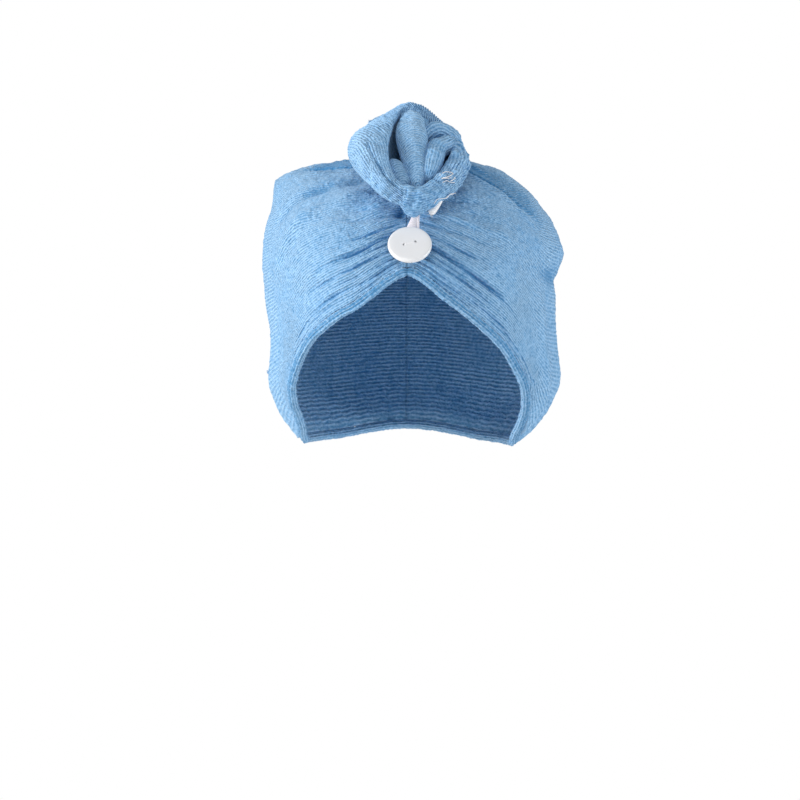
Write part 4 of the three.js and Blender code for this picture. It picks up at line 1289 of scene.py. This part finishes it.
def strand(shell, points, radius, sides, count, wide=None, rib=0.0012):
    """A cord along points, in rings of sides, count of them, turned with no twist of its own.
    radius: one for all or one a point. wide: half widths, where the cord is flat."""
    radii = np.broadcast_to(radius, len(points))
    widths = radii if wide is None else wide
    path = smooth_curve(np.column_stack([points, radii, widths]), count)
    centre, thin, broad = path[:, :3], path[:, 3], path[:, 4]
    heading = unit(np.gradient(centre, axis=0))
    side = np.zeros_like(centre)
    guess = np.array([1.0, 0, 0]) if abs(heading[0] @ [1, 0, 0]) < 0.9 else np.array([0, 0, 1.0])
    for i, ahead in enumerate(heading):
        guess = unit(guess - ahead * (guess @ ahead))
        side[i] = guess
    up = unit(np.cross(heading, side))
    turn = 2 * math.pi * shares_round(sides)
    grid = sections(centre, side, up, np.outer(broad, np.cos(turn)), np.outer(thin, np.sin(turn)))
    u = spread(run_lengths(centre) / rib, sides + 1)
    shell.tube(grid, u, repeat_rows(shares_round(sides, 1), count))


class TURBAN_OT_button(bpy.types.Operator):
    """Makes the round two-hole button"""

    bl_idname = "turban.button"
    bl_label = "Button"

    def execute(self, context):
        deselect()
        radius = BUTTON_DIAMETER / 2
        bpy.ops.mesh.primitive_cylinder_add(vertices=128, radius=radius, depth=BUTTON_THICKNESS)
        button = context.object
        button.name = "round_button"
        bpy.ops.object.mode_set(mode="EDIT")
        bpy.ops.mesh.select_mode(type="FACE")
        bpy.ops.mesh.select_all(action="DESELECT")
        bpy.ops.object.mode_set(mode="OBJECT")
        for face in button.data.polygons:
            face.select = face.normal.z > 0.9
        bpy.ops.object.mode_set(mode="EDIT")
        bpy.ops.mesh.inset(thickness=3.2 * MM, depth=0.12 * MM)
        bpy.ops.mesh.inset(thickness=3.0 * MM, depth=-0.1 * MM)
        bpy.ops.object.mode_set(mode="OBJECT")
        rim = button.modifiers.new("rim", "BEVEL")
        rim.width, rim.segments, rim.limit_method, rim.angle_limit = 1.3 * MM, 8, "ANGLE", math.radians(50)
        bpy.ops.object.modifier_apply(modifier=rim.name)
        for hand in (-1, 1):
            place = Vector((math.cos(HOLE_TURN), math.sin(HOLE_TURN), 0)) * (hand * HOLE_SPACING / 2)
            bpy.ops.mesh.primitive_cylinder_add(
                vertices=40, radius=HOLE_RADIUS, depth=12 * MM, location=place
            )
            drill = context.object
            hole = button.modifiers.new("hole", "BOOLEAN")
            hole.operation, hole.solver, hole.object = "DIFFERENCE", "EXACT", drill
            context.view_layer.objects.active = button
            bpy.ops.object.modifier_apply(modifier=hole.name)
            bpy.data.objects.remove(drill)
        context.view_layer.objects.active = button
        button.select_set(True)
        button.data.transform(button_frame())
        bpy.ops.object.shade_smooth_by_angle(angle=math.radians(38))
        button.data.materials.clear()
        button.data.materials.append(button_plastic())
        settle(button, ("button",))
        return {"FINISHED"}


class TURBAN_OT_thread(bpy.types.Operator):
    """Makes the strands that sew the button on"""

    bl_idname = "turban.thread"
    bl_label = "Button thread"

    def execute(self, context):
        shell = Shell()
        across = np.array([math.cos(HOLE_TURN), math.sin(HOLE_TURN), 0]) * HOLE_SPACING / 2
        beside = np.array([-math.sin(HOLE_TURN), math.cos(HOLE_TURN), 0]) * MM
        out = np.array([0, 0, MM])
        for step, lift in ((-0.3, 0.0), (0.0, 0.05), (0.3, 0.0)):
            height = STRAND["out"] + lift * STRAND["over"]
            points = np.outer(STRAND["across"], across) + np.outer(STRAND["beside"] * step, beside)
            strand(shell, on_button(points + np.outer(height, out)), 0.15 * MM, 8, 110, rib=0.0006)
        piece = shell.piece("sewing_thread", braided("thread_cotton", colours().thread, 0.00002))
        settle(piece, ("button_thread",))
        return {"FINISHED"}


class TURBAN_OT_loop(bpy.types.Operator):
    """Makes the elastic loop and its loose end"""

    bl_idname = "turban.loop"
    bl_label = "Elastic loop"

    def execute(self, context):
        foot = button_frame().inverted() @ Vector(tail_place(BROWS)[0])
        up = LOOP["up"] * MM + LOOP["foot"] * foot.y
        out = (LOOP["out"] - LOOP_BEHIND) * MM
        line = on_button(np.stack([LOOP["across"] * MM, up, out], -1))
        thin, wide = LOOP["thick"] * MM / 2, LOOP["wide"] * MM / 2
        shell = Shell()
        strand(shell, line, thin, 20, 260, wide, rib=0.0011)
        loop = shell.piece("braided_loop", braided("loop_elastic", colours().elastic))
        settle(loop, ("elastic_loop",))

        base = tail_place(STUB_FOOT)[0]
        heading = unit(np.array([-0.5, -0.25, -0.8]))
        stub = Shell()
        rows = [base + heading * s * MM for s in (-1, 3, 7, 9.6, 10.9, 11.4)]
        thick = np.array([1.4, 1.8, 1.9, 1.8, 1.3, 0.5]) * MM
        strand(stub, rows, thick, 20, 60, thick * 1.2)
        rng = np.random.default_rng(3)
        for _ in range(40):
            start = base + heading * 10.4 * MM + rng.normal(size=3) * 0.6 * MM
            end = start + heading * rng.uniform(0.4, 1.2) * MM + rng.normal(size=3) * 0.4 * MM
            bend = (start + end) / 2 + rng.normal(size=3) * 0.12 * MM
            strand(stub, [start, bend, end], 0.09 * MM, 6, 6)
        end = stub.piece("loose_end", braided("end_elastic", colours().thread, 0.00006))
        settle(end, ("loop_end",))
        return {"FINISHED"}


def sight(px, py):
    """The direction from the camera through a pixel of the photograph."""
    middle, pixels = FRAME_PIXELS / 2, FRAME_PIXELS * LENS_MM / SENSOR_MM
    return unit(np.array([(px - middle) / pixels, 1, (middle - py) / pixels]))


def near_sight(points, px, py):
    """Which of some points lies closest to the line of sight through a pixel of the photograph."""
    off, ray = points - np.array(CAMERA_PLACE), sight(px, py)
    return np.linalg.norm(off - (off @ ray)[:, None] * ray, axis=1).argmin()


def tuft(shell, points, px, py):
    """A tuft of pulled loops on the outline, by its place in the photograph's 800 x 800 frame."""
    spot = points[near_sight(points, px, py)]
    out = unit(spot - head_centre())
    rng = np.random.default_rng(5)
    for _ in range(9):
        tip = spot + unit(out + rng.normal(size=3) * 0.7) * rng.uniform(0.6, 1.5) * MM
        bend = (spot + tip) / 2 + rng.normal(size=3) * 0.3 * MM
        strand(shell, [spot - out * 0.5 * MM, bend, tip], 0.26 * MM, 6, 8)


def seen_from_front(tree, places, px, py, lift):
    """A place on a surface, seen at a pixel of the photograph from the camera's place, or else the
    surface's nearest point beside that line of sight."""
    ray = sight(px, py)
    spot, normal, _, _ = tree.ray_cast(Vector(CAMERA_PLACE), Vector(ray), 4)
    if spot is None:
        spot, normal, _, _ = tree.find_nearest(Vector(places[near_sight(places, px, py)]))
    spot, normal = np.array(spot), np.array(normal)
    return spot + (normal if normal @ ray < 0 else -normal) * lift


class TURBAN_OT_stitches(bpy.types.Operator):
    """Makes the loose sewing threads on the knot's edge"""

    bl_idname = "turban.stitches"
    bl_label = "Loose threads"

    def execute(self, context):
        mesh = bpy.data.objects["towel_tail"].data
        places = np.array([v.co for v in mesh.vertices])
        tree = BVHTree.FromPolygons(places.tolist(), [tuple(face.vertices) for face in mesh.polygons])
        shell = Shell()
        for radius, pixels in LOOSE_THREADS:
            points = [
                seen_from_front(tree, places, *pixel, (0.35 + 0.5 * (i % 2)) * MM)
                for i, pixel in enumerate(pixels)
            ]
            strand(shell, points, radius * MM, 8, 12 * len(points), rib=0.0006)
        piece = shell.piece("loose_threads", braided("stitch_cotton", colours().thread, 0.00002))
        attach(piece, "root")
        return {"FINISHED"}


# How strongly the white surroundings light the towel. The camera sees them at full strength.
SURROUNDINGS = 0.43
# The soft lamps. Each has a name, a place and a width in metres, a power in watts and a tint.
LAMPS = (
    ("key_light", (-1.85, -0.65, 0.3), 0.9, 37, (1, 0.965, 0.94)),
    ("rim_light", (1.8, -0.4, -0.4), 1.0, 18, (0.92, 0.97, 1)),
    ("front_light", (-0.2, -1.8, 0.9), 0.8, 9, (0.95, 0.98, 1)),
)


class TURBAN_OT_stage(bpy.types.Operator):
    """Sets the camera, the soft lights and the pale floor"""

    bl_idname = "turban.stage"
    bl_label = "Stage"

    def execute(self, context):
        scene = context.scene
        lens = bpy.data.cameras.new("camera")
        lens.lens, lens.sensor_width, lens.clip_end = LENS_MM, SENSOR_MM, 20
        camera = bpy.data.objects.new("camera", lens)
        camera.location = CAMERA_PLACE
        camera.rotation_euler = (math.radians(90), 0, 0)
        scene.collection.objects.link(camera)
        scene.camera = camera
        deselect()
        bpy.ops.mesh.primitive_plane_add(size=5.2, location=(0, -0.6, -0.75))
        floor = context.object
        floor.name = "floor"
        bpy.ops.object.transform_apply()
        floor.data.materials.append(studio_paper("floor_paper"))
        world = bpy.data.worlds.new("studio")
        scene.world = world
        world.use_nodes = True
        tree = world.node_tree
        background = tree.nodes["Background"]
        background.inputs["Color"].default_value = (1, 1, 1, 1)
        seen = tree.nodes.new("ShaderNodeLightPath")
        level = tree.nodes.new("ShaderNodeMapRange")
        level.inputs["To Min"].default_value = SURROUNDINGS
        level.inputs["To Max"].default_value = 1.0
        tree.links.new(seen.outputs["Is Camera Ray"], level.inputs["Value"])
        tree.links.new(level.outputs["Result"], background.inputs["Strength"])
        scene.view_settings.view_transform = "Standard"
        for name, place, width, power, tint in LAMPS:
            lamp = bpy.data.lights.new(name, "AREA")
            lamp.size, lamp.energy, lamp.color = width, power, tint
            light = bpy.data.objects.new(name, lamp)
            light.location = place
            heading = Vector((0, 0, -0.07)) - Vector(place)
            light.rotation_euler = heading.to_track_quat("-Z", "Y").to_euler()
            scene.collection.objects.link(light)
        return {"FINISHED"}


def deselect():
    for chosen in list(bpy.context.selected_objects):
        chosen.select_set(False)


class TURBAN_PT_panel(bpy.types.Panel):
    """The turban's sizes, colours and pieces"""

    bl_idname = "TURBAN_PT_panel"
    bl_label = "Hair Turban Towel"
    bl_space_type = "VIEW_3D"
    bl_region_type = "UI"
    bl_category = "Turban"

    def draw(self, context):
        layout = self.layout
        for group in (context.scene.turban_sizes, context.scene.turban_colours):
            box = layout.box()
            for key in group.__annotations__:
                box.prop(group, key)
        for operator in OPERATORS:
            layout.operator(operator.bl_idname)


OPERATORS = (
    TURBAN_OT_stage,
    TURBAN_OT_hood,
    TURBAN_OT_hem,
    TURBAN_OT_tail,
    TURBAN_OT_button,
    TURBAN_OT_thread,
    TURBAN_OT_loop,
    TURBAN_OT_stitches,
)
CLASSES = (TurbanSizes, TurbanColours, *OPERATORS, TURBAN_PT_panel)


def register():
    for kind in CLASSES:
        bpy.utils.register_class(kind)
    bpy.types.Scene.turban_sizes = bpy.props.PointerProperty(type=TurbanSizes)
    bpy.types.Scene.turban_colours = bpy.props.PointerProperty(type=TurbanColours)


def unregister():
    del bpy.types.Scene.turban_colours
    del bpy.types.Scene.turban_sizes
    for kind in reversed(CLASSES):
        bpy.utils.unregister_class(kind)


def main():
    register()
    bpy.ops.turban.stage()
    bpy.ops.turban.hood()
    bpy.ops.turban.hem()
    bpy.ops.turban.tail()
    bpy.ops.turban.button()
    bpy.ops.turban.thread()
    bpy.ops.turban.loop()
    bpy.ops.turban.stitches()


if __name__ == "__main__":
    main()
